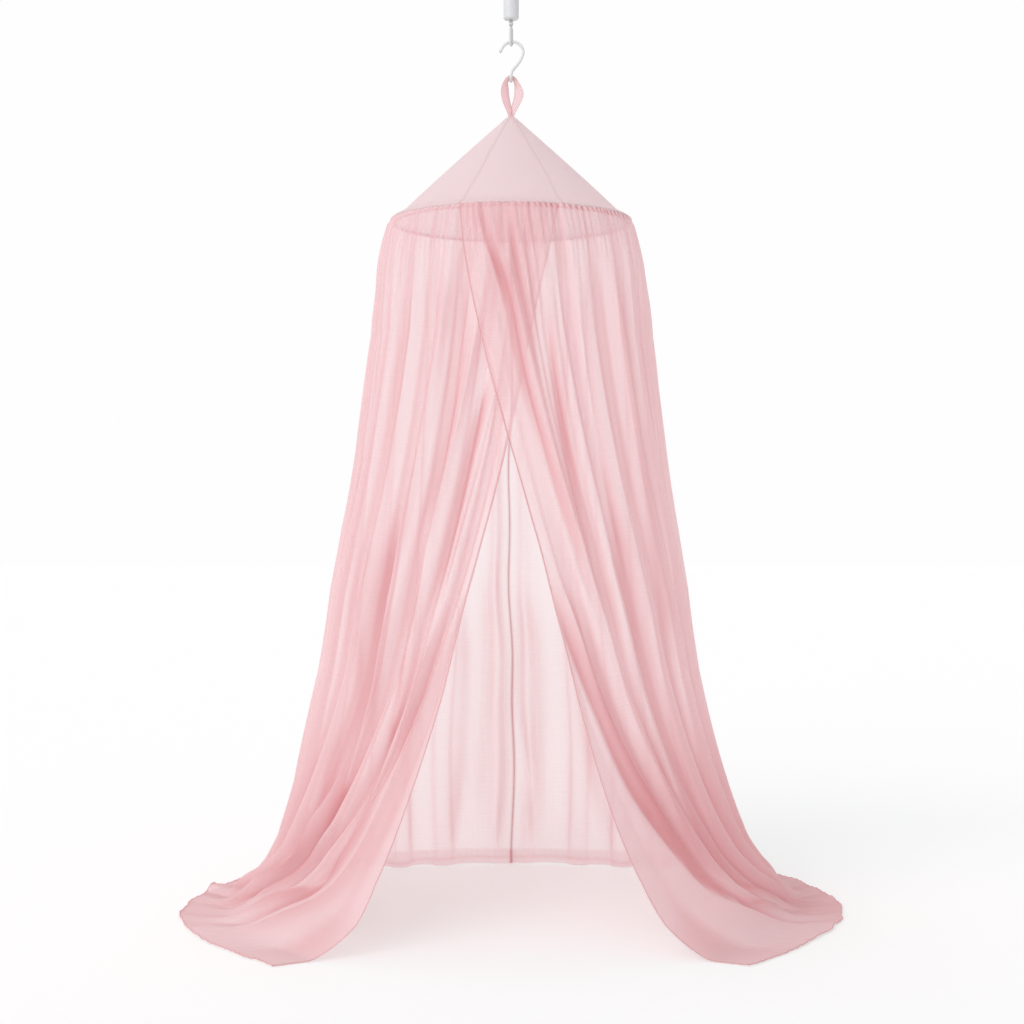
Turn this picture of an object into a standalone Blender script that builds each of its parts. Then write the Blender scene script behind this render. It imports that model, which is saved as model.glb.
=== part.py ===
"""A bed canopy: a pointed roof of eight gores over a round hoop, and two gathered voile
curtains that cross in front, part into a tent opening and trail on the floor. It hangs by a
cloth loop from an S hook, which hangs in the eye of a ceiling hanger.

Units are metres and +Z is up. The origin is the centre of the hanger's flat top face. The
sizes below give heights above the floor, which lies HANG_HEIGHT under the origin. Front is -Y.
"""

import math

import bmesh
import bpy
import numpy as np

# Driving sizes
HANG_HEIGHT = 2.310
CLOTH = 0.0015
GAP = 0.0003

# Hoop, a round rod inside the gathered heading
HOOP_RADIUS = 0.2945
HOOP_ROD = 0.006
HOOP_HEIGHT = 1.698
HOOP_STEPS = 56
ROD_STEPS = 8

# Roof, a straight-sided cone
RIM_RADIUS = 0.306
RIM_HEIGHT = 1.7055
THROAT_RADIUS = 0.0088
THROAT_HEIGHT = 1.970
ROOF_CLOTH = 0.0018
GORES = 8
FRONT_GORE_DEG = 48.2
ROOF_TURN_DEG = 0.6
SEAM_GAP = 0.0004
GORE_COLUMNS = 6
GORE_ROWS = 3

# Hanging loop, a twisted tape. One row is a cross-section: centre (x, y, height), direction of
# its width (x, y, height), half width, and how far it curls round the hook, in radians.
TAPE_CLOTH = 0.0018
TAPE_SECTIONS = (
    ((-0.0008, -0.0020, 1.962), (1.0, 0.1, 0.0), 0.0052, 0.2),
    ((-0.0028, -0.0022, 1.980), (1.0, 0.1, 0.0), 0.0062, 0.3),
    ((-0.0098, -0.0030, 2.004), (0.97, 0.2, 0.0), 0.0096, 0.4),
    ((-0.0150, -0.0030, 2.034), (0.95, 0.3, 0.0), 0.0108, 0.5),
    ((-0.0098, -0.0010, 2.058), (0.55, 0.8, 0.1), 0.0115, 1.1),
    ((0.0000, 0.0000, 2.0676), (0.0, 1.0, 0.0), 0.0117, 1.75),
    ((0.0102, -0.0010, 2.057), (-0.55, 0.8, 0.1), 0.0117, 1.1),
    ((0.0196, -0.0030, 2.031), (-0.95, 0.3, 0.0), 0.0125, 0.5),
    ((0.0126, -0.0005, 2.004), (-0.97, 0.2, 0.0), 0.0108, 0.4),
    ((0.0044, 0.0020, 1.980), (-1.0, 0.1, 0.0), 0.0064, 0.3),
    ((0.0010, 0.0020, 1.962), (-1.0, 0.1, 0.0), 0.0052, 0.2),
)
TAPE_STEPS = 4
TAPE_COLUMNS = 6

# Ceiling hanger: a barrel, a stem and an eye, and the S hook in the eye. Its lower bend is
# turned a quarter round, so that it faces the loop.
BARREL_RADIUS = 0.0206
BARREL_TAPER = 0.0008
BARREL_FOOT = 2.218
BARREL_ROUND = 0.006
BARREL_ROUND_STEPS = 4
STEM_RADIUS = 0.0045
STEM_FOOT = 2.2025
COLLAR_RADIUS = 0.0062
COLLAR_HEIGHT = 2.2075
COLLAR_HALF = 0.0022
COLLAR_BEVEL = 0.001
TURNED_STEPS = 24
MERGE_DISTANCE = 0.0001
EYE_WIRE = 0.0066
EYE_TOP = STEM_FOOT - GAP
EYE_FOOT = 2.1502
EYE_WIDTH = 0.0230
EYE_TURN_DEG = 15
EYE_STEPS = 8
HOOK_WIRE = 0.008
HOOK_ROUTE = (
    (-0.0277, 0, 2.1342), (-0.0240, 0, 2.1440), (-0.0165, 0, 2.1540), (-0.0070, 0, 2.1605),
    (0.0030, 0, 2.1620), (0.0130, 0, 2.1607), (0.0225, 0, 2.1545), (0.0290, 0, 2.1448),
    (0.0305, 0, 2.1340), (0.0270, 0, 2.1220), (0.0195, -0.0020, 2.1080),
    (0.0105, -0.0060, 2.0960), (0.0030, -0.0100, 2.0850), (0, -0.0120, 2.0745),
)
HOOK_STEPS = 32
HOOK_BEND = 0.012
HOOK_BEND_STEPS = 8
WIRE_ROUNDING = 2

# Curtains. A level is a place down the cloth, as a share of its length: the hoop, shoulder,
# waist, hip, shin, ankle, toe and hem. The outermost surface of the folds goes through the
# points given here.
LEVEL_SHARE = (0.0, 0.055, 0.290, 0.582, 0.802, 0.905, 0.951, 1.0)

# One row is a fall line: its angle on the hoop from the front in degrees, then (x, y, height)
# at each lower level. x is taken outward, so the left curtain is the mirror image of its rows.
RIGHT_FRONT = (
    (-23, (-0.111, -0.306, 1.597), (-0.009, -0.364, 1.147), (0.144, -0.480, 0.603),
     (0.260, -0.625, 0.212), (0.358, -0.715, 0.056), (0.430, -0.738, 0.004), (0.510, -0.779, 0)),
    (6, (0.045, -0.331, 1.600), (0.125, -0.362, 1.150), (0.270, -0.385, 0.610),
     (0.385, -0.445, 0.235), (0.480, -0.500, 0.060), (0.560, -0.525, 0.004), (0.672, -0.562, 0)),
    (35, (0.200, -0.266, 1.600), (0.268, -0.270, 1.160), (0.400, -0.235, 0.620),
     (0.500, -0.245, 0.250), (0.588, -0.275, 0.065), (0.668, -0.290, 0.004), (0.790, -0.306, 0)),
    (64, (0.306, -0.143, 1.600), (0.371, -0.110, 1.165), (0.481, -0.040, 0.625),
     (0.568, -0.035, 0.255), (0.646, -0.045, 0.065), (0.705, -0.040, 0.004), (0.803, -0.025, 0)),
    (93, (0.336, 0.020, 1.600), (0.389, 0.055, 1.165), (0.446, 0.140, 0.625),
     (0.506, 0.150, 0.250), (0.575, 0.165, 0.060), (0.632, 0.190, 0.004), (0.716, 0.240, 0)),
)
LEFT_FRONT = (
    (-21, (-0.089, -0.278, 1.593), (0.007, -0.335, 1.136), (0.151, -0.475, 0.603),
     (0.273, -0.625, 0.212), (0.361, -0.715, 0.056), (0.432, -0.738, 0.004), (0.505, -0.779, 0)),
    (8, (0.052, -0.306, 1.600), (0.130, -0.331, 1.150), (0.275, -0.380, 0.610),
     (0.390, -0.440, 0.235), (0.480, -0.495, 0.060), (0.560, -0.525, 0.004), (0.668, -0.580, 0)),
    (36, (0.200, -0.266, 1.600), (0.268, -0.270, 1.160), (0.400, -0.235, 0.620),
     (0.500, -0.245, 0.250), (0.580, -0.270, 0.065), (0.660, -0.290, 0.004), (0.786, -0.322, 0)),
    (64, (0.306, -0.143, 1.600), (0.372, -0.110, 1.165), (0.487, -0.040, 0.625),
     (0.570, -0.035, 0.250), (0.630, -0.045, 0.065), (0.690, -0.040, 0.004), (0.792, -0.035, 0)),
    (93, (0.336, 0.020, 1.600), (0.390, 0.055, 1.165), (0.455, 0.140, 0.625),
     (0.515, 0.150, 0.250), (0.565, 0.165, 0.060), (0.615, 0.190, 0.004), (0.698, 0.235, 0)),
)
BACK = (
    (122, (0.275, 0.176, 1.600), (0.305, 0.215, 1.165), (0.335, 0.265, 0.625),
     (0.372, 0.270, 0.230), (0.405, 0.276, 0.020), (0.448, 0.330, 0.002), (0.530, 0.435, 0)),
    (151, (0.158, 0.285, 1.600), (0.165, 0.315, 1.165), (0.180, 0.345, 0.625),
     (0.200, 0.338, 0.220), (0.212, 0.330, 0.016), (0.232, 0.372, 0.002), (0.275, 0.542, 0)),
    (180, (0, 0.325, 1.600), (0, 0.348, 1.165), (0, 0.375, 0.625),
     (0, 0.374, 0.218), (0, 0.374, 0.015), (0, 0.412, 0.002), (0, 0.578, 0)),
)

# Fold depth, half of crest to valley, at each level
FOLD_DEPTH = (0.0008, 0.0050, 0.0105, 0.0150, 0.0175, 0.0145, 0.0070, 0.0012)

# Crests of the folds, front edge first: place across the cloth at the hoop, hip, shin and hem,
# and depth as a share of FOLD_DEPTH where it falls and where it lies on the floor
CREST_LEVELS = (0.0, 0.58, 0.80, 1.0)
RIGHT_FOLDS = (
    (0.045, 0.032, 0.130, 0.240, 0.55, 1.10),
    (0.115, 0.126, 0.176, 0.300, 1.00, 0.90),
    (0.178, 0.186, 0.222, 0.345, 0.80, 0.50),
    (0.245, 0.248, 0.276, 0.395, 1.00, 1.30),
    (0.318, 0.320, 0.340, 0.450, 1.20, 0.90),
    (0.392, 0.396, 0.408, 0.510, 1.00, 1.20),
    (0.470, 0.476, 0.484, 0.575, 1.10, 0.80),
    (0.552, 0.558, 0.563, 0.643, 0.90, 1.00),
    (0.636, 0.642, 0.645, 0.713, 0.80, 0.60),
    (0.724, 0.730, 0.732, 0.785, 0.65, 0.30),
    (0.812, 0.818, 0.820, 0.857, 0.55, 0.25),
    (0.904, 0.908, 0.910, 0.930, 0.45, 0.30),
)
LEFT_FOLDS = (
    (0.042, 0.022, 0.098, 0.228, 0.50, 1.00),
    (0.108, 0.072, 0.140, 0.295, 0.80, 1.20),
    (0.170, 0.136, 0.186, 0.350, 0.90, 0.40),
    (0.236, 0.203, 0.236, 0.405, 1.20, 1.50),
    (0.308, 0.282, 0.308, 0.460, 1.10, 1.90),
    (0.386, 0.366, 0.385, 0.515, 1.00, 0.90),
    (0.466, 0.452, 0.466, 0.578, 1.00, 1.00),
    (0.550, 0.540, 0.550, 0.645, 0.90, 0.90),
    (0.638, 0.632, 0.638, 0.716, 0.80, 0.60),
    (0.728, 0.724, 0.728, 0.788, 0.65, 0.30),
    (0.818, 0.816, 0.818, 0.860, 0.55, 0.30),
    (0.908, 0.908, 0.908, 0.932, 0.45, 0.25),
)
ROUNDING = 0.45
LEAN = 0.04
COLUMNS_PER_FOLD = 6
FLAP_COLUMNS = 7
ROWS = 16

# Folds fade out towards the side edges, over a part of the last fold, and lie on the floor from
# this place down the cloth.
ROUNDING_FADE = 0.25
DEPTH_FADE = 0.4
LYING_FROM = 0.84
LYING_OVER = 0.10

# Rows of the grid lie closer where the cloth turns on to the floor.
TURN_PLACE = 0.92
TURN_SPREAD = 0.07
TURN_CLOSENESS = 2.0
MEASURED_ACROSS = 0.4
MEASURED_STEPS = 400
FLOOR_EASE = 0.004
NORMAL_STEP = 0.004

# Where the curtains cross in front, the right one is outside the left one at the hoop. Away from
# the front both have one radius.
HEADING_RADIUS = 0.3025
CROSSING_STEP = 0.002
CROSSING_FULL_DEG = 20
CROSSING_FADE_DEG = 30
HEADING_TOP = 1.7045


def clear_scene():
    for thing in list(bpy.data.objects):
        bpy.data.objects.remove(thing, do_unlink=True)


def material(name, colour, roughness, metallic=0.0):
    made = bpy.data.materials.new(name)
    made.use_nodes = True
    shader = made.node_tree.nodes["Principled BSDF"]
    shader.inputs["Base Color"].default_value = (*colour, 1)
    shader.inputs["Roughness"].default_value = roughness
    shader.inputs["Metallic"].default_value = metallic
    return made


def keep(made, finish):
    """Put an object in the canopy's collection with one material."""
    for home in list(made.users_collection):
        home.objects.unlink(made)
    bpy.data.collections["bed_canopy"].objects.link(made)
    made.data.materials.clear()
    made.data.materials.append(finish)
    return made


def keep_new(name, data, finish):
    made = bpy.data.objects.new(name, data)
    bpy.context.scene.collection.objects.link(made)
    return keep(made, finish)


def spline_weights(knots, at):
    """How much each knot counts at each place, for a natural cubic spline through them."""
    knots, at = np.asarray(knots, float), np.asarray(at, float)
    count = len(knots)
    gaps = np.diff(knots)
    values = np.eye(count)
    slopes = np.diff(values, axis=0) / gaps[:, None]
    system, right = np.eye(count), np.zeros((count, count))
    for i in range(1, count - 1):
        system[i, i - 1 : i + 2] = gaps[i - 1], 2 * (gaps[i - 1] + gaps[i]), gaps[i]
        right[i] = 6 * (slopes[i] - slopes[i - 1])
    bend = np.linalg.solve(system, right)
    i = np.clip(np.searchsorted(knots, at, side="right") - 1, 0, count - 2)
    low = ((knots[i + 1] - at) / gaps[i])[:, None]
    high = 1 - low
    curve = (low**3 - low) * bend[i] + (high**3 - high) * bend[i + 1]
    return low * values[i] + high * values[i + 1] + curve * (gaps[i] ** 2)[:, None] / 6


def smooth_step(x):
    x = np.clip(x, 0, 1)
    return x * x * (3 - 2 * x)


def soft_floor(height):
    """Height over the floor, eased so that the cloth lies down smoothly and never goes under."""
    eased = (height + FLOOR_EASE) ** 2 / (4 * FLOOR_EASE)
    return np.where(height > FLOOR_EASE, height, np.where(height < -FLOOR_EASE, 0, eased))


class Curtain:
    """The hanging shape of one curtain, worked out for the right side."""

    def __init__(self, stations, folds, crossing):
        self.angles = np.radians([row[0] for row in stations])
        self.crossing = crossing
        lower = np.array([row[1:] for row in stations], float)
        self.points = np.concatenate([self.heading(self.angles)[:, None, :], lower], axis=1)
        self.places = np.linspace(0, 1, len(stations))
        self.folds = np.array(folds, float)
        self.last_phase = len(folds) + 0.5

    def heading(self, angles):
        """Points of the gathered top edge, stepped out or in where the curtains cross."""
        near_front = 1 - smooth_step((np.degrees(angles) - CROSSING_FULL_DEG) / CROSSING_FADE_DEG)
        radius = HEADING_RADIUS + self.crossing * near_front
        top = np.full(len(angles), HEADING_TOP)
        return np.stack([radius * np.sin(angles), -radius * np.cos(angles), top], axis=-1)

    def surface(self, across, down):
        """Points of the outermost surface, before the folds. Both arrays have one shape."""
        columns = spline_weights(self.places, across.ravel())
        rows = spline_weights(LEVEL_SHARE, down.ravel())
        found = np.einsum("na,nb,abk->nk", columns, rows, self.points)
        angles = columns @ self.angles
        near_hoop = 1 - smooth_step(down.ravel() / LEVEL_SHARE[1])
        found += (self.heading(angles) - columns @ self.points[:, 0]) * near_hoop[:, None]
        return found.reshape(*across.shape, 3)

    def outward(self, across, down):
        """Unit normal of the outermost surface, away from the inside of the canopy."""
        step = NORMAL_STEP
        wide = self.surface(across + step, down) - self.surface(across - step, down)
        long = self.surface(across, down + step) - self.surface(across, down - step)
        normal = np.cross(long, wide)
        return normal / np.linalg.norm(normal, axis=-1, keepdims=True)

    def crest_places(self, downs):
        """Place across the cloth of each crest at each level, with one more past each edge."""
        share = spline_weights(CREST_LEVELS, downs)
        places = share @ self.folds[:, :4].T
        return np.concatenate([-places[:, :1], places, 2 - places[:, -1:]], axis=1)

    def drape(self, phases, downs):
        """Points of the folded cloth on a grid. A phase counts folds from the front edge: a
        crest lies at each whole number, and the side edges lie half a fold outside the last."""
        crests = self.crest_places(downs)
        numbers = np.arange(crests.shape[1])
        turn = 2 * math.pi * phases
        from_edge = np.minimum(phases - 0.5, self.last_phase - phases)
        inside = smooth_step(from_edge / ROUNDING_FADE)
        pushed = phases + inside * ROUNDING * np.sin(2 * turn) / (4 * math.pi)
        pushed += inside * LEAN * np.sin(turn)
        across = np.stack([np.interp(pushed, numbers, row) for row in crests], axis=1)
        down = np.broadcast_to(downs, across.shape)
        hanging = np.interp(phases, numbers[1:-1], self.folds[:, 4])[:, None]
        lying = np.interp(phases, numbers[1:-1], self.folds[:, 5])[:, None]
        on_floor = smooth_step((down - LYING_FROM) / LYING_OVER)
        depth = (spline_weights(LEVEL_SHARE, downs) @ np.array(FOLD_DEPTH))[None, :]
        depth = depth * (hanging * (1 - on_floor) + lying * on_floor)
        at_edges = smooth_step(from_edge / DEPTH_FADE)
        lift = np.cos(turn)[:, None] - 1 + 2 * on_floor
        points = self.surface(across, down)
        points = points + self.outward(across, down) * (depth * lift * at_edges[:, None])[..., None]
        points[..., 2] = CLOTH / 2 + soft_floor(points[..., 2] - CLOTH / 2)
        return points

    def columns(self):
        """Phases of the columns: close in the wide flap from the front edge to the first crest."""
        flap = np.linspace(0.5, 1, FLAP_COLUMNS, endpoint=False)
        others = round((self.last_phase - 1) * COLUMNS_PER_FOLD)
        return np.concatenate([flap, np.linspace(1, self.last_phase, others + 1)])

    def rows(self, count):
        """Places down the cloth: even along it, and closer where it turns on to the floor."""
        fine = np.linspace(0, 1, MEASURED_STEPS)
        line = self.surface(np.full_like(fine, MEASURED_ACROSS), fine)
        step = np.linalg.norm(np.diff(line, axis=0), axis=1)
        step *= 1 + TURN_CLOSENESS * np.exp(-(((fine[1:] - TURN_PLACE) / TURN_SPREAD) ** 2))
        along = np.concatenate([[0], np.cumsum(step)])
        return np.interp(np.linspace(0, along[-1], count + 1), along, fine)


def sheet_from(name, points, thick, cloth):
    """An object from a grid of points in heights above the floor, thickened on both sides."""
    columns, rows = points.shape[:2]
    grid = bmesh.new()
    bmesh.ops.create_grid(grid, x_segments=columns - 1, y_segments=rows - 1, size=1)
    grid.verts.ensure_lookup_table()
    for place, vert in enumerate(grid.verts):
        row, column = divmod(place, columns)
        vert.co = points[column, row] - np.array([0, 0, HANG_HEIGHT])
    mesh = bpy.data.meshes.new(name)
    grid.to_mesh(mesh)
    grid.free()
    mesh.shade_smooth()
    made = keep_new(name, mesh, cloth)
    shell = made.modifiers.new("thickness", "SOLIDIFY")
    shell.thickness = thick
    shell.offset = 0
    return made


def build_curtain(name, stations, folds, crossing, side, cloth):
    curtain = Curtain(stations, folds, crossing)
    points = curtain.drape(curtain.columns(), curtain.rows(ROWS))
    behind = points[..., 1] > 0
    points[..., 0] = np.where(behind, np.maximum(points[..., 0], GAP), points[..., 0])
    points[..., 0] *= side
    return sheet_from(name, points, CLOTH, cloth)


def build_roof(cloth):
    """Eight gores of one straight-sided cone, parted by the width of a seam."""
    other_deg = (360 - FRONT_GORE_DEG) / (GORES - 1)
    start = ROOF_TURN_DEG - FRONT_GORE_DEG / 2
    for gore in range(GORES):
        width = FRONT_GORE_DEG if gore == 0 else other_deg
        angles = np.radians(np.linspace(start, start + width, GORE_COLUMNS + 1))
        start += width
        share = np.linspace(0, 1, GORE_ROWS + 1)
        radius = THROAT_RADIUS + (RIM_RADIUS - THROAT_RADIUS) * share
        height = THROAT_HEIGHT + (RIM_HEIGHT - THROAT_HEIGHT) * share
        points = np.zeros((GORE_COLUMNS + 1, GORE_ROWS + 1, 3))
        points[..., 0] = np.sin(angles)[:, None] * radius
        points[..., 1] = -np.cos(angles)[:, None] * radius
        points[..., 2] = height
        along_rim = np.stack([np.cos(angles), np.sin(angles), np.zeros_like(angles)], axis=-1)
        points[0] += along_rim[0] * SEAM_GAP / 2
        points[-1] -= along_rim[-1] * SEAM_GAP / 2
        sheet_from(f"roof_gore_{gore + 1}", points, ROOF_CLOTH, cloth)


def build_hoop(rod):
    bpy.ops.mesh.primitive_torus_add(
        major_segments=HOOP_STEPS, minor_segments=ROD_STEPS, major_radius=HOOP_RADIUS,
        minor_radius=HOOP_ROD / 2, location=(0, 0, HOOP_HEIGHT - HANG_HEIGHT),
    )
    made = bpy.context.object
    made.name = "hoop"
    made.data.shade_smooth()
    return keep(made, rod)


def build_loop(cloth):
    """The twisted tape: its cross-sections are read from a smooth curve through the rows."""
    knots = np.linspace(0, 1, len(TAPE_SECTIONS))
    steps = np.linspace(0, 1, (len(TAPE_SECTIONS) - 1) * TAPE_STEPS + 1)
    share = spline_weights(knots, steps)
    centre = share @ np.array([row[0] for row in TAPE_SECTIONS])
    wide = share @ np.array([row[1] for row in TAPE_SECTIONS])
    wide /= np.linalg.norm(wide, axis=1, keepdims=True)
    half = share @ np.array([row[2] for row in TAPE_SECTIONS])
    curl = share @ np.array([row[3] for row in TAPE_SECTIONS])
    along = np.gradient(centre, axis=0)
    over = np.cross(along, wide)
    over /= np.linalg.norm(over, axis=1, keepdims=True)
    points = np.zeros((TAPE_COLUMNS + 1, len(steps), 3))
    for column, side in enumerate(np.linspace(-1, 1, TAPE_COLUMNS + 1)):
        sideways = half * np.sin(curl * side) / curl
        upward = half * (1 - np.cos(curl * side)) / curl
        points[column] = centre + wide * sideways[:, None] + over * upward[:, None]
    return sheet_from("hanging_loop", points, TAPE_CLOTH, cloth)


def tube(name, route, wire, finish, closed=False):
    """A round wire through points in heights above the floor."""
    curve = bpy.data.curves.new(name, "CURVE")
    curve.dimensions = "3D"
    curve.bevel_depth = wire / 2
    curve.bevel_resolution = WIRE_ROUNDING
    curve.use_fill_caps = not closed
    line = curve.splines.new("POLY")
    line.points.add(len(route) - 1)
    for point, (x, y, height) in zip(line.points, route):
        point.co = (x, y, height - HANG_HEIGHT, 1)
    line.use_cyclic_u = closed
    line.use_smooth = True
    return keep_new(name, curve, finish)


def hook_points():
    """The S hook: a smooth curve through its route, and its lower bend as a half circle."""
    knots = np.linspace(0, 1, len(HOOK_ROUTE))
    route = spline_weights(knots, np.linspace(0, 1, HOOK_STEPS)) @ np.array(HOOK_ROUTE)
    end = HOOK_ROUTE[-1]
    bend = []
    for step in range(1, HOOK_BEND_STEPS + 1):
        turn = math.pi * step / HOOK_BEND_STEPS
        bend.append((end[0], -HOOK_BEND * math.cos(turn), end[2] - HOOK_BEND * math.sin(turn)))
    tip = (end[0], HOOK_BEND, end[2] + HOOK_WIRE / 2)
    return (*route, *bend, tip)


def eye_points():
    """The eye: an upright ring with straight sides, turned a little out of the front view."""
    reach = (EYE_WIDTH - EYE_WIRE) / 2
    top = EYE_TOP - EYE_WIRE / 2 - reach
    foot = EYE_FOOT + EYE_WIRE / 2 + reach
    turned_by = math.radians(EYE_TURN_DEG)
    points = []
    for middle, start in ((top, 0), (foot, math.pi)):
        for step in range(EYE_STEPS + 1):
            turn = start + math.pi * step / EYE_STEPS
            aside = reach * math.cos(turn)
            height = middle + reach * math.sin(turn)
            points.append((aside * math.sin(turned_by), aside * math.cos(turned_by), height))
    return points


def turned(name, profile, finish):
    """A turned piece: profile is (radius, height above the floor) from its top to its foot."""
    mesh = bpy.data.meshes.new(name)
    line = bmesh.new()
    verts = [line.verts.new((radius, 0, height - HANG_HEIGHT)) for radius, height in profile]
    for one, other in zip(verts, verts[1:]):
        line.edges.new((one, other))
    line.to_mesh(mesh)
    line.free()
    made = keep_new(name, mesh, finish)
    screw = made.modifiers.new("turn", "SCREW")
    screw.steps = TURNED_STEPS
    screw.render_steps = TURNED_STEPS
    screw.use_merge_vertices = True
    screw.merge_threshold = MERGE_DISTANCE
    return made


def build_hanger(plastic):
    foot_radius = BARREL_RADIUS - BARREL_TAPER
    profile = [(0, HANG_HEIGHT), (BARREL_RADIUS, HANG_HEIGHT)]
    for step in range(BARREL_ROUND_STEPS + 1):
        turn = math.pi / 2 * step / BARREL_ROUND_STEPS
        profile.append(
            (foot_radius - BARREL_ROUND * (1 - math.cos(turn)),
             BARREL_FOOT + BARREL_ROUND * (1 - math.sin(turn)))
        )
    profile.append((0, BARREL_FOOT))
    turned("ceiling_barrel", profile, plastic)
    stem_top = BARREL_FOOT - GAP
    low, high = COLLAR_HEIGHT - COLLAR_HALF, COLLAR_HEIGHT + COLLAR_HALF
    upper = [(0, stem_top), (STEM_RADIUS, stem_top), (STEM_RADIUS, high)]
    collar = [(COLLAR_RADIUS, high - COLLAR_BEVEL), (COLLAR_RADIUS, low + COLLAR_BEVEL)]
    lower = [(STEM_RADIUS, low), (STEM_RADIUS, STEM_FOOT), (0, STEM_FOOT)]
    turned("swivel_stem", upper + collar + lower, plastic)
    tube("swivel_eye", eye_points(), EYE_WIRE, plastic, closed=True)


def main():
    clear_scene()
    canopy = bpy.data.collections.new("bed_canopy")
    bpy.context.scene.collection.children.link(canopy)
    voile = material("pink voile", (0.86, 0.55, 0.58), 0.85)
    roof_cloth = material("pink roof cloth", (0.84, 0.63, 0.66), 0.85)
    tape = material("pink tape", (0.84, 0.52, 0.56), 0.8)
    rod = material("hoop rod", (0.62, 0.56, 0.55), 0.5)
    plastic = material("white plastic", (0.86, 0.86, 0.87), 0.35)
    steel = material("white coated steel", (0.88, 0.88, 0.88), 0.3)
    build_curtain("curtain_right", RIGHT_FRONT + BACK, RIGHT_FOLDS, CROSSING_STEP, 1, voile)
    build_curtain("curtain_left", LEFT_FRONT + BACK, LEFT_FOLDS, -CROSSING_STEP, -1, voile)
    build_roof(roof_cloth)
    build_hoop(rod)
    build_loop(tape)
    tube("s_hook", hook_points(), HOOK_WIRE, steel)
    build_hanger(plastic)


main()
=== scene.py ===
# %% [markdown]
# A bed canopy of sheer pink voile hangs from a ceiling hook. A pointed roof stands on a round
# hoop, and two gathered curtains hang from the hoop, cross in front, part into a tent opening
# and trail on the floor. The solid parts are loaded first as a fixed frame, so that every piece
# made here has a place and a size to keep to. Lengths are metres unless a table is said to be
# in millimetres. Up is +Z and front is -Y.

# %% Load the frame
import math

import bmesh
import bpy
import numpy as np
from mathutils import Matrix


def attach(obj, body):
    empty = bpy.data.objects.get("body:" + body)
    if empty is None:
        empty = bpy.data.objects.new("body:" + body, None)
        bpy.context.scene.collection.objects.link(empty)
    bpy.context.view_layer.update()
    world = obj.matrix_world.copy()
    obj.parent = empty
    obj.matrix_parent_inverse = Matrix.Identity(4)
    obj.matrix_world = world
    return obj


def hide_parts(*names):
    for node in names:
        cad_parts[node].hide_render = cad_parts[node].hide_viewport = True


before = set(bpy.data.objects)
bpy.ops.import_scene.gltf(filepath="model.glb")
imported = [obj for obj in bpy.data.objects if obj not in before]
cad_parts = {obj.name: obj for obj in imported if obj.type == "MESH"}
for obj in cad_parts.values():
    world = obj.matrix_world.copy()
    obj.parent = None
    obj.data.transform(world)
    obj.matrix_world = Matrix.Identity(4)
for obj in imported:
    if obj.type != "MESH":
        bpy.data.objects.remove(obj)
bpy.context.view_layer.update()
HANG_HEIGHT = 2.310

# %% [markdown]
# The photograph was taken with a level camera in front of the canopy. A long lens keeps the
# hoop's ellipse as flat as it is there. The camera's height sets where the rim and the hem of
# the back wall appear, so it is a height above the floor.

# %% Camera
CAMERA_DISTANCE = 4.70
CAMERA_HEIGHT = 0.966
CAMERA_ASIDE = 0.0025
IMAGE_WIDTH_PX = 1024
FOCAL_LENGTH_PX = 1847
SENSOR_WIDTH_MM = 36

camera = bpy.data.objects.new("camera", bpy.data.cameras.new("camera"))
bpy.context.scene.collection.objects.link(camera)
camera.data.sensor_width = SENSOR_WIDTH_MM
camera.data.lens = FOCAL_LENGTH_PX / IMAGE_WIDTH_PX * SENSOR_WIDTH_MM
camera.location = (CAMERA_ASIDE, -CAMERA_DISTANCE, CAMERA_HEIGHT - HANG_HEIGHT)
camera.rotation_euler = (math.pi / 2, 0, 0)
bpy.context.scene.camera = camera
print("lens", round(camera.data.lens, 2), "mm")

# %% [markdown]
# Materials are graphs of nodes. Small helpers keep them short to write: one adds a node and
# fills its sockets, with a link where the value is another node's output, and one adds a Math
# node. Both work in a material and in a node group. The others do the same for what comes back
# more than once: a mix of colours or shaders, a new group and its use, and a material's output.

# %% Node helpers
MIX_FIRST, MIX_SECOND, MIX_RESULT = 6, 7, 2
SCREEN_BLACK_END = 0.04045
SCREEN_BLACK_SLOPE = 12.92
SCREEN_OFFSET = 0.055
SCREEN_POWER = 2.4


def add_node(tree, kind, settings=None, **inputs):
    """A node of this kind. inputs are named by socket, with spaces as underscores."""
    node = tree.nodes.new(kind)
    for name, value in (settings or {}).items():
        setattr(node, name, value)
    for name, value in inputs.items():
        fill(tree, node.inputs[name.replace("_", " ")], value)
    return node


def fill(tree, socket, value):
    if isinstance(value, bpy.types.NodeSocket):
        tree.links.new(value, socket)
    else:
        socket.default_value = value


def calculate(tree, operation, first, second=0.0, clamp=False):
    node = tree.nodes.new("ShaderNodeMath")
    node.operation = operation
    node.use_clamp = clamp
    fill(tree, node.inputs[0], first)
    fill(tree, node.inputs[1], second)
    return node.outputs[0]


def blend_colours(tree, share, first, second):
    node = tree.nodes.new("ShaderNodeMix")
    node.data_type = "RGBA"
    fill(tree, node.inputs["Factor"], share)
    fill(tree, node.inputs[MIX_FIRST], first)
    fill(tree, node.inputs[MIX_SECOND], second)
    return node.outputs[MIX_RESULT]


def linear(red, green, blue):
    """A colour read from a screen, 0 to 255, as the linear colour that a shader takes."""
    values = np.array([red, green, blue]) / 255
    low = values / SCREEN_BLACK_SLOPE
    high = ((values + SCREEN_OFFSET) / (1 + SCREEN_OFFSET)) ** SCREEN_POWER
    return (*np.where(values <= SCREEN_BLACK_END, low, high).tolist(), 1.0)


def new_material(name):
    material = bpy.data.materials.new(name)
    material.use_nodes = True
    material.node_tree.nodes.clear()
    return material, material.node_tree


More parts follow.
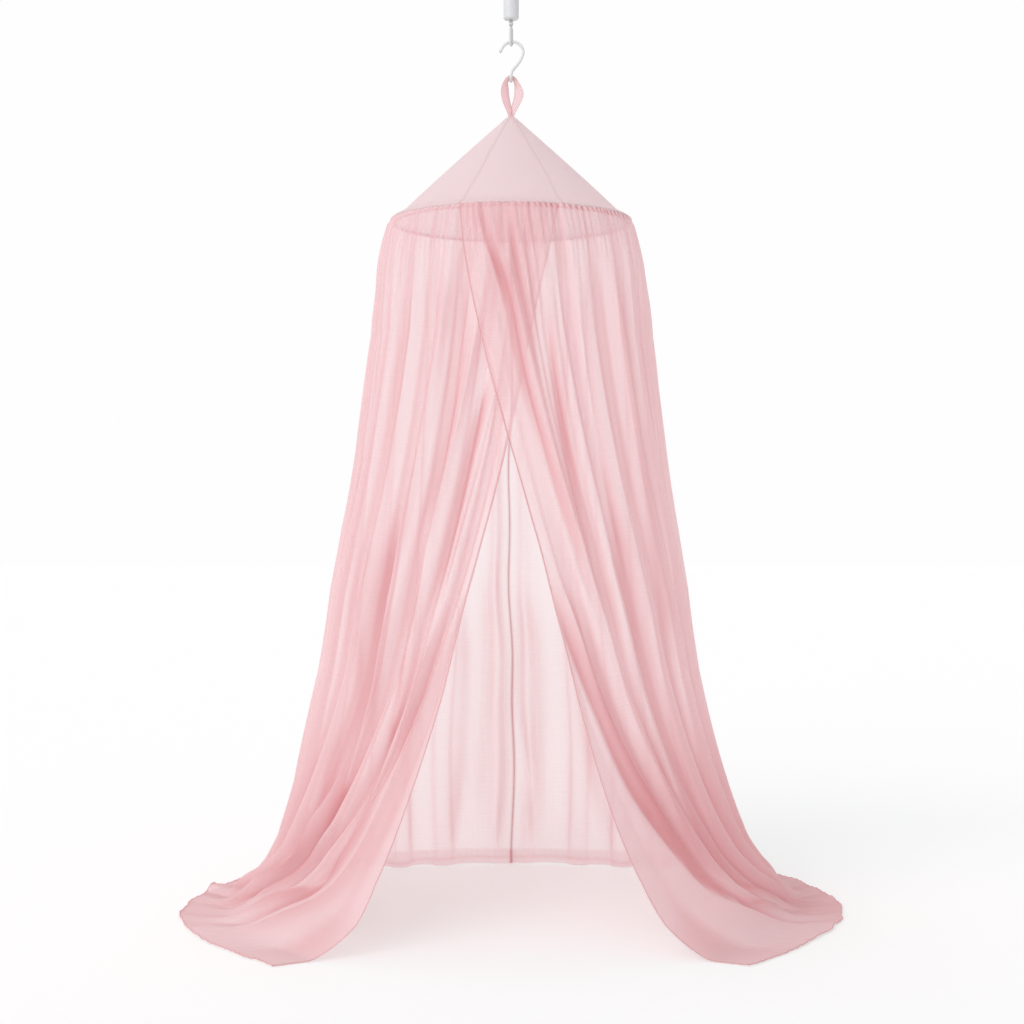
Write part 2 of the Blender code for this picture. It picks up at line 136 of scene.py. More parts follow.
def new_group(name, takes, gives):
    """A node group with sockets of the named kinds, and its input and output nodes."""
    group = bpy.data.node_groups.new(name, "ShaderNodeTree")
    for way, sockets in (("INPUT", takes), ("OUTPUT", gives)):
        for socket, kind in sockets.items():
            group.interface.new_socket(socket, in_out=way, socket_type="NodeSocket" + kind)
    return group, group.nodes.new("NodeGroupInput"), group.nodes.new("NodeGroupOutput")


def group_node(tree, group, **inputs):
    node = tree.nodes.new("ShaderNodeGroup")
    node.node_tree = group
    for name, value in inputs.items():
        fill(tree, node.inputs[name.replace("_", " ")], value)
    return node


def show_surface(tree, shader):
    out = tree.nodes.new("ShaderNodeOutputMaterial")
    tree.links.new(shader.outputs[0], out.inputs["Surface"])


def mix_shaders(tree, share, first, second):
    mixed = tree.nodes.new("ShaderNodeMixShader")
    fill(tree, mixed.inputs[0], share)
    tree.links.new(first.outputs[0], mixed.inputs[1])
    tree.links.new(second.outputs[0], mixed.inputs[2])
    return mixed


# %% [markdown]
# Voile is a plain weave of fine, slightly uneven threads. Seen close, single threads cross over
# and under; seen from a step away, what is left is a faint streakiness along both thread
# directions, because some threads are thicker. The group makes both from the flat cloth's own
# coordinates in metres, so the threads follow the folds.

# %% Weave group
STREAK_STRETCHES = ((900.0, 14.0, 1.0), (11.0, 800.0, 1.0))
CROSSING_SHARE = 0.10
RELIEF_SHARE = 0.5


def make_weave_group():
    group, start, end = new_group(
        "voile_weave",
        takes={"Vector": "Vector", "Threads": "Float", "Unevenness": "Float"},
        gives={"Cover": "Float", "Height": "Float"},
    )
    place = add_node(group, "ShaderNodeSeparateXYZ", Vector=start.outputs["Vector"])
    turns = calculate(group, "MULTIPLY", start.outputs["Threads"], 2 * math.pi)
    warp = calculate(group, "SINE", calculate(group, "MULTIPLY", place.outputs["X"], turns))
    weft = calculate(group, "SINE", calculate(group, "MULTIPLY", place.outputs["Y"], turns))
    crossing = calculate(group, "MULTIPLY", warp, weft)
    streaks = []
    for stretch in STREAK_STRETCHES:
        mapped = add_node(group, "ShaderNodeMapping", Vector=start.outputs["Vector"], Scale=stretch)
        noise = add_node(group, "ShaderNodeTexNoise", {"noise_dimensions": "2D"},
                         Vector=mapped.outputs[0], Scale=1.0, Detail=1.0)
        streaks.append(noise.outputs["Fac"])
    thick = calculate(group, "ADD", streaks[0], calculate(group, "SUBTRACT", streaks[1], 1.0))
    uneven = calculate(group, "MULTIPLY", thick, start.outputs["Unevenness"])
    threads = calculate(group, "MULTIPLY", crossing, CROSSING_SHARE)
    group.links.new(calculate(group, "ADD", uneven, threads), end.inputs["Cover"])
    relief = calculate(group, "MULTIPLY", calculate(group, "ADD", crossing, thick), RELIEF_SHARE)
    group.links.new(relief, end.inputs["Height"])
    return group


weave_group = make_weave_group()
print("weave group with", len(weave_group.nodes), "nodes")

# %% [markdown]
# Sheer cloth lets light past between its threads, lights up when light comes from behind, and
# looks denser where it turns away from the eye, because more thread lies in the line of sight.
# So the shader mixes Transparent with a cloth that is half Principled and half Translucent. The
# open share of one flat layer is raised to the number of layers, over the cosine of the angle.
# The number of layers is an attribute on the mesh, higher at hems and where the cloth crowds. A second
# attribute tints the cloth towards a deeper colour: at seams and hems, which are really darker, and as
# painted shade in the pockets between the gathers, in hollows, beside the drawn folds and on the trains.

# %% Sheer cloth material
EVEN_FACING = 0.5
SMALLEST_COSINE = 0.25
THREAD_BUMP = 0.25
THREAD_RELIEF = 0.0004
THICK_THREAD_TONE = 0.93
THICK_THREAD_FROM = 0.5
CLOTH_ROUGHNESS = 0.82
CLOTH_SPECULAR = 0.25
SHEEN_ROUGHNESS = 0.45
LIGHT_THROUGH = 0.5


def sheer_cloth(name, colour, seam_and_shade_colour, open_share, threads, unevenness, sheen):
    material, tree = new_material(name)
    flat_place = add_node(tree, "ShaderNodeUVMap", {"uv_map": "flat_cloth"})
    weave = group_node(tree, weave_group, Vector=flat_place.outputs["UV"], Threads=threads,
                       Unevenness=unevenness)
    layers = add_node(tree, "ShaderNodeAttribute", {"attribute_name": "layers"})
    facing = add_node(tree, "ShaderNodeLayerWeight", Blend=EVEN_FACING)
    cosine = calculate(tree, "SUBTRACT", 1.0, facing.outputs["Facing"])
    cosine = calculate(tree, "MAXIMUM", cosine, SMALLEST_COSINE)
    slant = calculate(tree, "DIVIDE", layers.outputs["Fac"], cosine)
    thickness = calculate(tree, "MULTIPLY", slant, calculate(tree, "ADD", weave.outputs["Cover"], 1.0))
    opening = calculate(tree, "POWER", open_share, thickness)
    bump = add_node(tree, "ShaderNodeBump", Strength=THREAD_BUMP, Distance=THREAD_RELIEF,
                    Height=weave.outputs["Height"])
    deeper = tuple(value * THICK_THREAD_TONE for value in colour[:3]) + (1.0,)
    uneven = calculate(tree, "ADD", weave.outputs["Cover"], THICK_THREAD_FROM, clamp=True)
    # The deeper colour goes in at seams and hems, which are really darker, and as painted shade in pockets,
    # hollows, beside drawn folds and on the trains.
    seam_and_shade = add_node(tree, "ShaderNodeAttribute", {"attribute_name": "seam_and_shade"})
    woven = blend_colours(tree, uneven, colour, deeper)
    seam_and_shade_tint = blend_colours(tree, seam_and_shade.outputs["Fac"], woven, seam_and_shade_colour)
    surface = add_node(
        tree, "ShaderNodeBsdfPrincipled", Base_Color=seam_and_shade_tint, Roughness=CLOTH_ROUGHNESS,
        Specular_IOR_Level=CLOTH_SPECULAR, Sheen_Weight=sheen, Sheen_Roughness=SHEEN_ROUGHNESS,
        Normal=bump.outputs[0],
    )
    behind = add_node(tree, "ShaderNodeBsdfTranslucent", Color=seam_and_shade_tint, Normal=bump.outputs[0])
    clear = add_node(tree, "ShaderNodeBsdfTransparent", Color=(1, 1, 1, 1))
    cloth = mix_shaders(tree, LIGHT_THROUGH, surface, behind)
    show_surface(tree, mix_shaders(tree, opening, cloth, clear))
    return material


# The voile's deeper colour serves its seams and hems, and also the painted shade of its folds and trains.
voile = sheer_cloth(
    "pink voile", colour=linear(248, 219, 222), seam_and_shade_colour=linear(218, 147, 151), open_share=0.56,
    threads=900.0, unevenness=0.28, sheen=0.15,
)
roof_cloth = sheer_cloth(
    "pink roof cloth", colour=linear(241, 227, 229), seam_and_shade_colour=linear(216, 196, 198), open_share=0.18,
    threads=1100.0, unevenness=0.15, sheen=0.1,
)
tape_cloth = sheer_cloth(
    "pink tape", colour=linear(243, 213, 216), seam_and_shade_colour=linear(220, 164, 168), open_share=0.42,
    threads=800.0, unevenness=0.2, sheen=0.2,
)
print("cloths", voile.name, roof_cloth.name, tape_cloth.name)

# %% [markdown]
# Each curtain hangs in a shape that no box or cylinder gives, so it is drawn as fall lines: rows
# of points from the hoop to the hem, with a smooth cubic spline through them along the cloth and
# across it. They are the ones that the solid curtains were built from, apart from the hem of the
# trains, which is drawn in a little. A row has an angle on the hoop and points in millimetres,
# with the height above the floor last. x is taken outward, so the left curtain is the mirror
# image of its rows.

# %% Fall lines
THOUSANDTHS = 1000
LEVEL_SHARE = (0.0, 0.055, 0.290, 0.582, 0.802, 0.905, 0.951, 1.0)
RIGHT_FRONT = (
    (-23, (-111, -306, 1597), (-9, -364, 1147), (144, -480, 603), (260, -625, 212), (358, -715, 56),
     (430, -738, 4), (510, -779, 0)),
    (6, (45, -331, 1600), (125, -362, 1150), (270, -385, 610), (385, -445, 235), (480, -500, 60),
     (560, -525, 4), (672, -562, 0)),
    (35, (200, -266, 1600), (268, -270, 1160), (400, -235, 620), (500, -245, 250), (588, -275, 65),
     (668, -290, 4), (790, -306, 0)),
    (64, (306, -143, 1600), (371, -110, 1165), (481, -40, 625), (568, -35, 255), (646, -45, 65),
     (702, -40, 4), (796, -30, 0)),
    (93, (336, 20, 1600), (389, 55, 1165), (446, 140, 625), (506, 150, 250), (572, 165, 60), (622, 190, 4),
     (698, 238, 0)),
)
LEFT_FRONT = (
    (-21, (-89, -278, 1593), (7, -335, 1136), (151, -475, 603), (273, -625, 212), (361, -715, 56),
     (432, -738, 4), (505, -779, 0)),
    (8, (52, -306, 1600), (130, -331, 1150), (275, -380, 610), (390, -440, 235), (480, -495, 60),
     (560, -525, 4), (668, -580, 0)),
    (36, (200, -266, 1600), (268, -270, 1160), (400, -235, 620), (500, -245, 250), (580, -270, 65),
     (660, -290, 4), (786, -322, 0)),
    (64, (306, -143, 1600), (372, -110, 1165), (487, -40, 625), (570, -35, 250), (630, -45, 65),
     (684, -40, 4), (778, -40, 0)),
    (93, (336, 20, 1600), (390, 55, 1165), (455, 140, 625), (515, 150, 250), (562, 165, 60), (606, 190, 4),
     (678, 230, 0)),
)
BACK = (
    (122, (275, 176, 1600), (305, 215, 1165), (335, 265, 625), (372, 270, 230), (405, 276, 20),
     (448, 330, 2), (530, 435, 0)),
    (151, (158, 285, 1600), (165, 315, 1165), (180, 345, 625), (200, 338, 220), (212, 330, 16),
     (232, 372, 2), (275, 542, 0)),
    (180, (0, 325, 1600), (0, 348, 1165), (0, 375, 625), (0, 374, 218), (0, 374, 15), (0, 412, 2),
     (0, 578, 0)),
)
HEADING_RADIUS = 0.3025
CROSSING_STEP = 0.002
HEADING_TOP = 1.7045
CROSSING_FULL_DEG = 20
CROSSING_FADE_DEG = 30
NORMAL_STEP = 0.004
SHORTEST = 1e-9


def spline_weights(knots, at):
    """How much each knot counts at each place, for a natural cubic spline through them."""
    knots, at = np.asarray(knots, float), np.asarray(at, float)
    count = len(knots)
    gaps = np.diff(knots)
    values = np.eye(count)
    slopes = np.diff(values, axis=0) / gaps[:, None]
    system, right = np.eye(count), np.zeros((count, count))
    for i in range(1, count - 1):
        system[i, i - 1 : i + 2] = gaps[i - 1], 2 * (gaps[i - 1] + gaps[i]), gaps[i]
        right[i] = 6 * (slopes[i] - slopes[i - 1])
    bend = np.linalg.solve(system, right)
    i = np.clip(np.searchsorted(knots, at, side="right") - 1, 0, count - 2)
    low = ((knots[i + 1] - at) / gaps[i])[:, None]
    high = 1 - low
    curve = (low**3 - low) * bend[i] + (high**3 - high) * bend[i + 1]
    return low * values[i] + high * values[i + 1] + curve * (gaps[i] ** 2)[:, None] / 6


def smooth_step(x):
    x = np.clip(x, 0, 1)
    return x * x * (3 - 2 * x)


def rising(x, start, over):
    """From 0 at start to 1 once x is past start by over, with a soft beginning and end."""
    return smooth_step((x - start) / over)


def bell(x, centre, spread):
    return np.exp(-(((x - centre) / spread) ** 2))


def unit(vectors):
    return vectors / np.maximum(np.linalg.norm(vectors, axis=-1, keepdims=True), SHORTEST)


class FallLines:
    """The curtain's surface before its folds: across is 0 at the front edge and 1 at the back
    seam, down is 0 at the hoop and 1 at the hem."""

    def __init__(self, stations, crossing):
        self.angles = np.radians([row[0] for row in stations])
        self.crossing = crossing
        lower = np.array([row[1:] for row in stations]) / THOUSANDTHS
        self.points = np.concatenate([self.heading(self.angles)[:, None, :], lower], axis=1)
        self.places = np.linspace(0, 1, len(stations))

    def heading(self, angles):
        near_front = 1 - rising(np.degrees(angles), CROSSING_FULL_DEG, CROSSING_FADE_DEG)
        radius = HEADING_RADIUS + self.crossing * near_front
        top = np.full(len(angles), HEADING_TOP)
        return np.stack([radius * np.sin(angles), -radius * np.cos(angles), top], axis=-1)

    def at(self, across, down):
        columns = spline_weights(self.places, across.ravel())
        rows = spline_weights(LEVEL_SHARE, down.ravel())
        found = np.einsum("na,nb,abk->nk", columns, rows, self.points)
        angles = columns @ self.angles
        near_hoop = 1 - smooth_step(down.ravel() / LEVEL_SHARE[1])
        found += (self.heading(angles) - columns @ self.points[:, 0]) * near_hoop[:, None]
        return found.reshape(*across.shape, 3)

    def outward(self, across, down):
        wide = self.at(across + NORMAL_STEP, down) - self.at(across - NORMAL_STEP, down)
        long = self.at(across, down + NORMAL_STEP) - self.at(across, down - NORMAL_STEP)
        normal = np.cross(long, wide)
        return normal / np.linalg.norm(normal, axis=-1, keepdims=True)


right_lines = FallLines(RIGHT_FRONT + BACK, CROSSING_STEP)
left_lines = FallLines(LEFT_FRONT + BACK, -CROSSING_STEP)
print("fall lines per curtain", len(right_lines.places))

# %% [markdown]
# Gathered cloth falls in folds of two sizes. The main folds run from hoop to floor and are the
# ones that the solid curtains have: a rounded wave between crests whose places are given at four
# levels. No two folds are alike: a row has the four places, and the fold's share of the usual
# depth where it hangs and where it lies. Here and below, a pair of numbers named for a change is
# where it begins and how far it takes.

# %% Main folds
FOLD_DEPTH = (0.0008, 0.0050, 0.0105, 0.0150, 0.0175, 0.0145, 0.0070, 0.0012)
CREST_LEVELS = (0.0, 0.58, 0.80, 1.0)
RIGHT_FOLDS = (
    (0.045, 0.032, 0.13, 0.24, 0.55, 1.1),
    (0.115, 0.126, 0.176, 0.3, 1.0, 0.9),
    (0.178, 0.186, 0.222, 0.345, 0.8, 0.5),
    (0.245, 0.248, 0.276, 0.395, 1.0, 1.3),
    (0.318, 0.32, 0.34, 0.45, 1.2, 0.9),
    (0.392, 0.396, 0.408, 0.51, 1.0, 1.2),
    (0.47, 0.476, 0.484, 0.575, 1.1, 0.8),
    (0.552, 0.558, 0.563, 0.643, 0.9, 1.0),
    (0.636, 0.642, 0.645, 0.713, 0.8, 0.6),
    (0.724, 0.73, 0.732, 0.785, 0.65, 0.3),
    (0.812, 0.818, 0.82, 0.857, 0.55, 0.25),
    (0.904, 0.908, 0.91, 0.93, 0.45, 0.3),
)
LEFT_FOLDS = (
    (0.042, 0.022, 0.098, 0.228, 0.5, 1.0),
    (0.108, 0.072, 0.14, 0.295, 0.8, 1.2),
    (0.17, 0.136, 0.186, 0.35, 0.9, 0.4),
    (0.236, 0.203, 0.236, 0.405, 1.2, 1.5),
    (0.308, 0.282, 0.308, 0.46, 1.1, 1.9),
    (0.386, 0.366, 0.385, 0.515, 1.0, 0.9),
    (0.466, 0.452, 0.466, 0.578, 1.0, 1.0),
    (0.55, 0.54, 0.55, 0.645, 0.9, 0.9),
    (0.638, 0.632, 0.638, 0.716, 0.8, 0.6),
    (0.728, 0.724, 0.728, 0.788, 0.65, 0.3),
    (0.818, 0.816, 0.818, 0.86, 0.55, 0.3),
    (0.908, 0.908, 0.908, 0.932, 0.45, 0.25),
)
ROUNDING = 0.45
LEAN = 0.04
EDGE_PHASE = 0.5
PUSH_FADE = 0.25
EDGE_FADE = 0.4
ON_FLOOR = (0.84, 0.10)


def main_folds(folds, phases, downs):
    """Place across the cloth and height of the main folds on a grid of phases and levels. A
    phase is a whole number at each crest, and the side edges lie half a fold outside."""
    folds = np.array(folds)
    from_start = phases - EDGE_PHASE
    to_end = len(folds) + EDGE_PHASE - phases
    places = spline_weights(CREST_LEVELS, downs) @ folds[:, : len(CREST_LEVELS)].T
    crests = np.concatenate([-places[:, :1], places, 2 - places[:, -1:]], axis=1)
    numbers = np.arange(crests.shape[1])
    turn = 2 * math.pi * phases
    inside = rising(from_start, 0, PUSH_FADE) * rising(to_end, 0, PUSH_FADE)
    pushed = phases + inside * (ROUNDING * np.sin(2 * turn) / (4 * math.pi) + LEAN * np.sin(turn))
    across = np.stack([np.interp(pushed, numbers, row) for row in crests], axis=1)
    hanging, lying = (np.interp(phases, numbers[1:-1], depths)[:, None] for depths in folds[:, -2:].T)
    on_floor = rising(downs, *ON_FLOOR)[None, :]
    depth = (spline_weights(LEVEL_SHARE, downs) @ np.array(FOLD_DEPTH))[None, :]
    depth = depth * (hanging * (1 - on_floor) + lying * on_floor)
    at_edges = rising(from_start, 0, EDGE_FADE) * rising(to_end, 0, EDGE_FADE)
    lift = np.cos(turn)[:, None] - 1 + 2 * on_floor
    return across, depth * lift * at_edges[:, None]


print("main folds per curtain", len(RIGHT_FOLDS))

# %% [markdown]
# The fine folds start at the hoop, where the heading is gathered every two centimetres. Going
# down, some of these pinches die out soon and others join into longer, wider folds. They are
# summed as soft ridges, each with its own place, reach and height from a seeded generator, so
# that every run gives the same cloth. Their widths are shares of the distance between them. The
# heading itself is pinched evenly where it is sewn.

# %% Fine folds
GATHERS = {"count": 56, "height": 0.0060, "half_width": 0.42, "reach": (0.10, 0.50), "early": 2.0}
LONG_FOLDS = {"count": 24, "height": 0.0120, "half_width": 0.32, "reach": (0.8, 1.10), "early": 1.3}
THIN_FOLDS = {"count": 32, "height": 0.0030, "half_width": 0.30, "reach": (0.7, 1.15), "early": 1.0}
PLACE_SPREAD = 0.32
HEIGHT_SPREAD = (0.35, 1.25)
WIDTH_SPREAD = (0.7, 1.3)
MOST_LEAN = 0.4
SWAY = 0.35
SWAY_TURN = 5.0
SWAY_STARTS = 0.3
WIDER_DOWN = 0.6
WHOLE_SHARE = 0.45
BLUNTNESS = 2.6
PINCHES = 70
RIM_PINCH = 0.0018
PINCH_SHIFT = (0.004, 37)
SUNK_SHARE = 0.45
GATHERS_SINK = (0, 0.5)
RIM_SHARE = 0.40
FULL_BELOW_RIM = (0, 0.035)
CALMER = (0.04, 0.16)
CALMER_BY = 0.45
LONG_START = (0, 0.14)
LONG_CALMER = (0.82, 0.10)
LONG_CALMER_BY = 0.75
THIN_START = (0.10, 0.25)
THIN_END = (0.86, 0.10)
PAST_FLAP = (0.02, 0.07)
FLAP_BELOW = (0.05, 0.15)
PINCHES_END = (0.01, 0.07)


def soft_ridges(across, down, chance, count, height, half_width, reach, early):
    """Summed ridges that run down the cloth and fade at their own reach, with one steep side."""
    total = np.zeros_like(across)
    for number in range(-1, count + 1):
        centre = (number + 0.5 + chance.uniform(-PLACE_SPREAD, PLACE_SPREAD)) / count
        end = reach[0] + (reach[1] - reach[0]) * chance.uniform() ** early
        sway = chance.uniform(-1, 1) * SWAY / count
        swing = chance.uniform(0, 2 * math.pi)
        tall = height * chance.uniform(*HEIGHT_SPREAD)
        wide = half_width * chance.uniform(*WIDTH_SPREAD) / count
        lean = chance.uniform(-MOST_LEAN, MOST_LEAN)
        line = centre + sway * np.sin(down * SWAY_TURN + swing) * rising(down, 0, SWAY_STARTS)
        apart = (across - line) / (wide * (1 + WIDER_DOWN * down))
        apart = np.abs(apart * np.where(apart > 0, 1 + lean, 1 - lean))
        fade = 1 - rising(down, end * WHOLE_SHARE, end * (1 - WHOLE_SHARE))
        total += tall * fade * np.exp(-(apart**BLUNTNESS))
    return total


def rim_pinch(across):
    """From -1 in a valley to 1 on a pinch of the heading."""
    shift, turn = PINCH_SHIFT
    return np.cos(2 * math.pi * PINCHES * (across + shift * np.sin(turn * across)))


def fine_folds(across, down, seed):
    """Height of the fine folds. The flap beside the front edge hangs almost plain."""
    chance = np.random.default_rng(seed)
    gathers = soft_ridges(across, down, chance, **GATHERS)
    gathers -= GATHERS["height"] * SUNK_SHARE * (1 - rising(down, *GATHERS_SINK))
    at_rim = RIM_SHARE + (1 - RIM_SHARE) * rising(down, *FULL_BELOW_RIM)
    gathers *= at_rim - CALMER_BY * rising(down, *CALMER)
    long_folds = soft_ridges(across, down, chance, **LONG_FOLDS) - LONG_FOLDS["height"] * SUNK_SHARE
    long_folds *= rising(down, *LONG_START) * (1 - LONG_CALMER_BY * rising(down, *LONG_CALMER))
    thin = soft_ridges(across, down, chance, **THIN_FOLDS)
    thin *= rising(down, *THIN_START) * (1 - rising(down, *THIN_END))
    plain = 1 - (1 - rising(across, *PAST_FLAP)) * rising(down, *FLAP_BELOW)
    pinches = RIM_PINCH * rim_pinch(across) * (1 - rising(down, *PINCHES_END))
    return (gathers + long_folds + thin) * plain + pinches


print("gathers per curtain", GATHERS["count"], "long folds", LONG_FOLDS["count"])

# %% [markdown]
# The folds that make the canopy's look are drawn one by one: where the cloth is pulled to the side and dips
# into a long valley, and where it sweeps out over the floor. A row has the height and the half width in
# millimetres, the side on which the cloth doubles up and is painted darker, and places (across, down) in
# thousandths of the cloth.

# %% Drawn folds
RIGHT_DRAWN = (
    (-13, 12, 1, ((40, -30), (53, 58), (70, 100), (76, 200), (86, 290), (92, 350), (102, 440), (112, 560))),
    (-11, 9, 1, ((97, -40), (106, 60), (112, 120), (118, 180), (120, 260))),
    (10, 10, 1, ((72, -30), (87, 60), (98, 130), (106, 220), (112, 330), (125, 480))),
    (-10, 9, 1, ((172, 60), (160, 200), (146, 330), (140, 440), (142, 560))),
    (-8, 8, -1, ((190, 40), (182, 200), (170, 330), (166, 440), (168, 580))),
    (-9, 8, 1, ((250, 40), (238, 200), (229, 360), (224, 500))),
    (12, 16, 1, ((318, 30), (326, 140), (328, 250), (306, 410), (300, 600))),
    (-18, 16, 1, ((6, 420), (18, 535), (47, 622), (82, 739), (142, 840), (205, 920), (255, 960))),
    (-13, 12, -1, ((60, 460), (86, 600), (108, 690), (134, 770), (172, 860), (225, 930))),
    (-12, 20, 1, ((210, 360), (200, 600), (206, 740), (226, 830), (280, 910), (330, 950))),
    (12, 10, 1, ((34, 450), (60, 600), (100, 740), (150, 835), (215, 910), (290, 950), (335, 1010))),
    (9, 10, 1, ((120, 520), (136, 640), (150, 740), (178, 820), (205, 870))),
    (12, 12, 1, ((158, 620), (170, 720), (200, 820), (250, 890), (320, 935), (395, 1010))),
    (10, 14, 1, ((400, 860), (420, 920), (436, 960), (450, 1020))),
    (7, 7, 1, ((40, -80), (42, 30), (50, 60), (60, 105), (66, 160))),
    (7, 7, 1, ((65, -80), (70, 30), (80, 63), (85, 100), (90, 150))),
    (7, 7, 1, ((112, -80), (120, 30), (127, 63), (129, 113), (120, 200))),
    (7, 7, 1, ((137, -80), (144, 30), (149, 63), (149, 113), (137, 200))),
    (6, 7, 1, ((162, -80), (167, 30), (169, 63), (162, 150))),
    (10, 9, -1, ((960, 460), (950, 560), (945, 700), (952, 800), (948, 900))),
    (9, 6, 1, ((986, 460), (981, 560), (985, 640), (978, 740), (964, 820), (958, 900))),
    (10, 12, 1, ((868, 520), (856, 620), (842, 720), (820, 820), (800, 900))),
)
LEFT_DRAWN = (
    (9, 12, 1, ((319, 30), (310, 110), (306, 220), (289, 440))),
    (11, 11, -1, ((232, 30), (232, 170), (238, 320), (217, 440), (205, 500))),
    (-10, 14, 1, ((180, 20), (168, 150), (164, 300), (167, 440))),
    (9, 8, -1, ((150, 80), (148, 200), (150, 360), (148, 480))),
    (-14, 14, -1, ((80, 160), (90, 220), (98, 300), (98, 440), (100, 540))),
    (-8, 6, -1, ((58, 200), (62, 270), (67, 330), (70, 450), (66, 520))),
    (12, 12, 1, ((300, 360), (268, 550), (250, 660), (261, 762), (309, 897), (400, 945), (430, 1000))),
    (14, 11, 1, ((207, 450), (194, 576), (184, 697), (204, 782), (240, 880), (310, 930), (390, 1010))),
    (14, 11, -1, ((45, 470), (68, 566), (78, 692), (94, 760), (142, 855), (240, 922), (325, 1010))),
    (-16, 18, 1, ((268, 360), (234, 560), (216, 680), (208, 760), (215, 830), (250, 890), (310, 930))),
    (-16, 16, -1, ((176, 400), (142, 600), (122, 730), (134, 820), (180, 900), (260, 945))),
    (14, 14, -1, ((4, 460), (34, 580), (44, 680), (58, 767), (87, 847), (154, 927), (230, 1000))),
    (-5, 4, 1, ((50, 580), (40, 620), (24, 660), (10, 700))),
    (-5, 4, 1, ((60, 600), (48, 650), (34, 700), (16, 750))),
    (9, 9, -1, ((950, 440), (947, 560), (950, 680), (944, 800), (950, 880))),
    (8, 6, 1, ((984, 400), (979, 520), (985, 620), (980, 680))),
    (11, 7, 1, ((988, 580), (984, 700), (980, 800), (974, 920))),
    (10, 13, -1, ((900, 500), (910, 600), (914, 700), (905, 820), (892, 900))),
    (15, 12, 1, ((446, 880), (452, 940), (458, 1120))),
)
FOLD_STARTS = 0.12
FOLD_ENDS = 0.10
DOUBLED_WIDTH = 1.7
CRISP_WIDTH = 0.30
CRISPEST = 0.0042
USUAL_HEIGHT = 0.012
DRAWN_BLUNTNESS = 1.7


def drawn_folds(across, down, rows):
    """Height of the drawn folds, and from 0 upward how far the cloth doubles up beside them; the same band
    later sets painted shade there.
    """
    height = np.zeros_like(across)
    doubled_and_shaded = np.zeros_like(across)
    for tall, half_width, side, places in rows:
        tall, half_width, places = (np.array(value) / THOUSANDTHS for value in (tall, half_width, places))
        first, last = places[0, 1], places[-1, 1]
        line = spline_weights(places[:, 1], np.clip(down[0], first, last)) @ places[:, 0]
        apart = (across - line) / half_width
        going = rising(down, first, FOLD_STARTS) * rising(last - down, 0, FOLD_ENDS)
        height += tall * going * np.exp(-(np.abs(apart) ** DRAWN_BLUNTNESS))
        # The band on one side of each drawn fold adds layers for doubled cloth and, through the deeper tint,
        # painted shade.
        wide = np.where(apart * side > 0, DOUBLED_WIDTH, max(CRISP_WIDTH, CRISPEST / half_width))
        doubled_and_shaded += abs(tall) / USUAL_HEIGHT * going * np.exp(-((apart / wide) ** 2))
    return height, doubled_and_shaded


print("drawn folds", len(RIGHT_DRAWN), "right", len(LEFT_DRAWN), "left")

# %% [markdown]
# Cloth that lies on the floor keeps some of its folds and ripples a little along the hem, where
# the stitching draws it up. Nothing may sink into the floor, so heights are eased towards it. The
# slack, in pairs of place down the cloth and distance, is how far inside the fall lines the folds
# hang. It keeps the outline where it is although the folds stand out from the lines.

# %% Curtain shape
BACK_SEAM_FOLD = 0.010
BACK_SEAM_PLACE = 0.968
BACK_SEAM_WIDTH = 0.011
CLOTH_OVER_FLOOR = 0.00075
HEM_RIPPLE = 0.0016
HEM_RIPPLES = 74
HEM_WAVE = 0.0030
HEM_SCALLOP = 0.0012
COLUMNS = 470
ROWS = 196
FLAP_SHARE = 0.07

SLACK = (
    (0, -0.001), (0.008, -0.005), (0.055, 0.002), (0.09, 0.011), (0.155, 0.019), (0.222, 0.014),
    (0.29, 0.008), (0.42, 0.003), (0.5, 0.004), (0.582, 0.013), (0.615, 0.015), (0.69, 0.011),
    (0.8, 0.005), (0.84, 0.002), (0.89, 0.01), (0.93, 0.004), (1, 0),
)
FLOOR_EASE = 0.004
LEVEL_SAMPLES = 600
MEASURED_ACROSS = 0.4
CLOSER_AT_FLOOR = 1.5
FLOOR_TURN = (0.93, 0.07)
CLOSER_AT_RIM = 2.0
RIM_REACH = 0.03
WIDEST_COLUMNS = 0.75
DRAWN_ACROSS = (0.30, 0.08)
DRAWN_DOWN = (0.02, 0.08)
BEHIND_ACROSS = (0.74, 0.10)
BEHIND_DOWN = (0.15, 0.25)
CALMER_THERE = 0.45
SEAM_FOLD_START = (0, 0.2)
SEAM_FOLD_END = (-0.93, 0.1)
NEAR_HEM = (0.93, 0.07)
SMALLEST_PITCH = 0.0005
RIPPLE_TURNS = (HEM_RIPPLES * 2 * math.pi, 3, 23)
WAVE_TURNS = (61, 2.2, 19)
SCALLOP_TURNS = (173, 2.0, 41)


def soft_floor(height):
    eased = (height + FLOOR_EASE) ** 2 / (4 * FLOOR_EASE)
    return np.where(height > FLOOR_EASE, height, np.where(height < -FLOOR_EASE, 0, eased))


def uneven_wave(x, turns, start=0.0):
    """A sine whose waves come closer and further apart."""
    often, shift, shift_often = turns
    return np.sin(x * often + shift * np.sin(x * shift_often + start))


def spaced_levels(lines, count):
    """Places down the cloth: even along it, and closer at the rim and where it turns on to the
    floor."""
    fine = np.linspace(0, 1, LEVEL_SAMPLES)
    line = lines.at(np.full_like(fine, MEASURED_ACROSS), fine)
    step = np.linalg.norm(np.diff(line, axis=0), axis=1)
    at_rim = CLOSER_AT_RIM * np.exp(-fine[1:] / RIM_REACH)
    step *= 1 + CLOSER_AT_FLOOR * bell(fine[1:], *FLOOR_TURN) + at_rim
    along = np.concatenate([[0], np.cumsum(step)])
    return np.interp(np.linspace(0, along[-1], count + 1), along, fine)


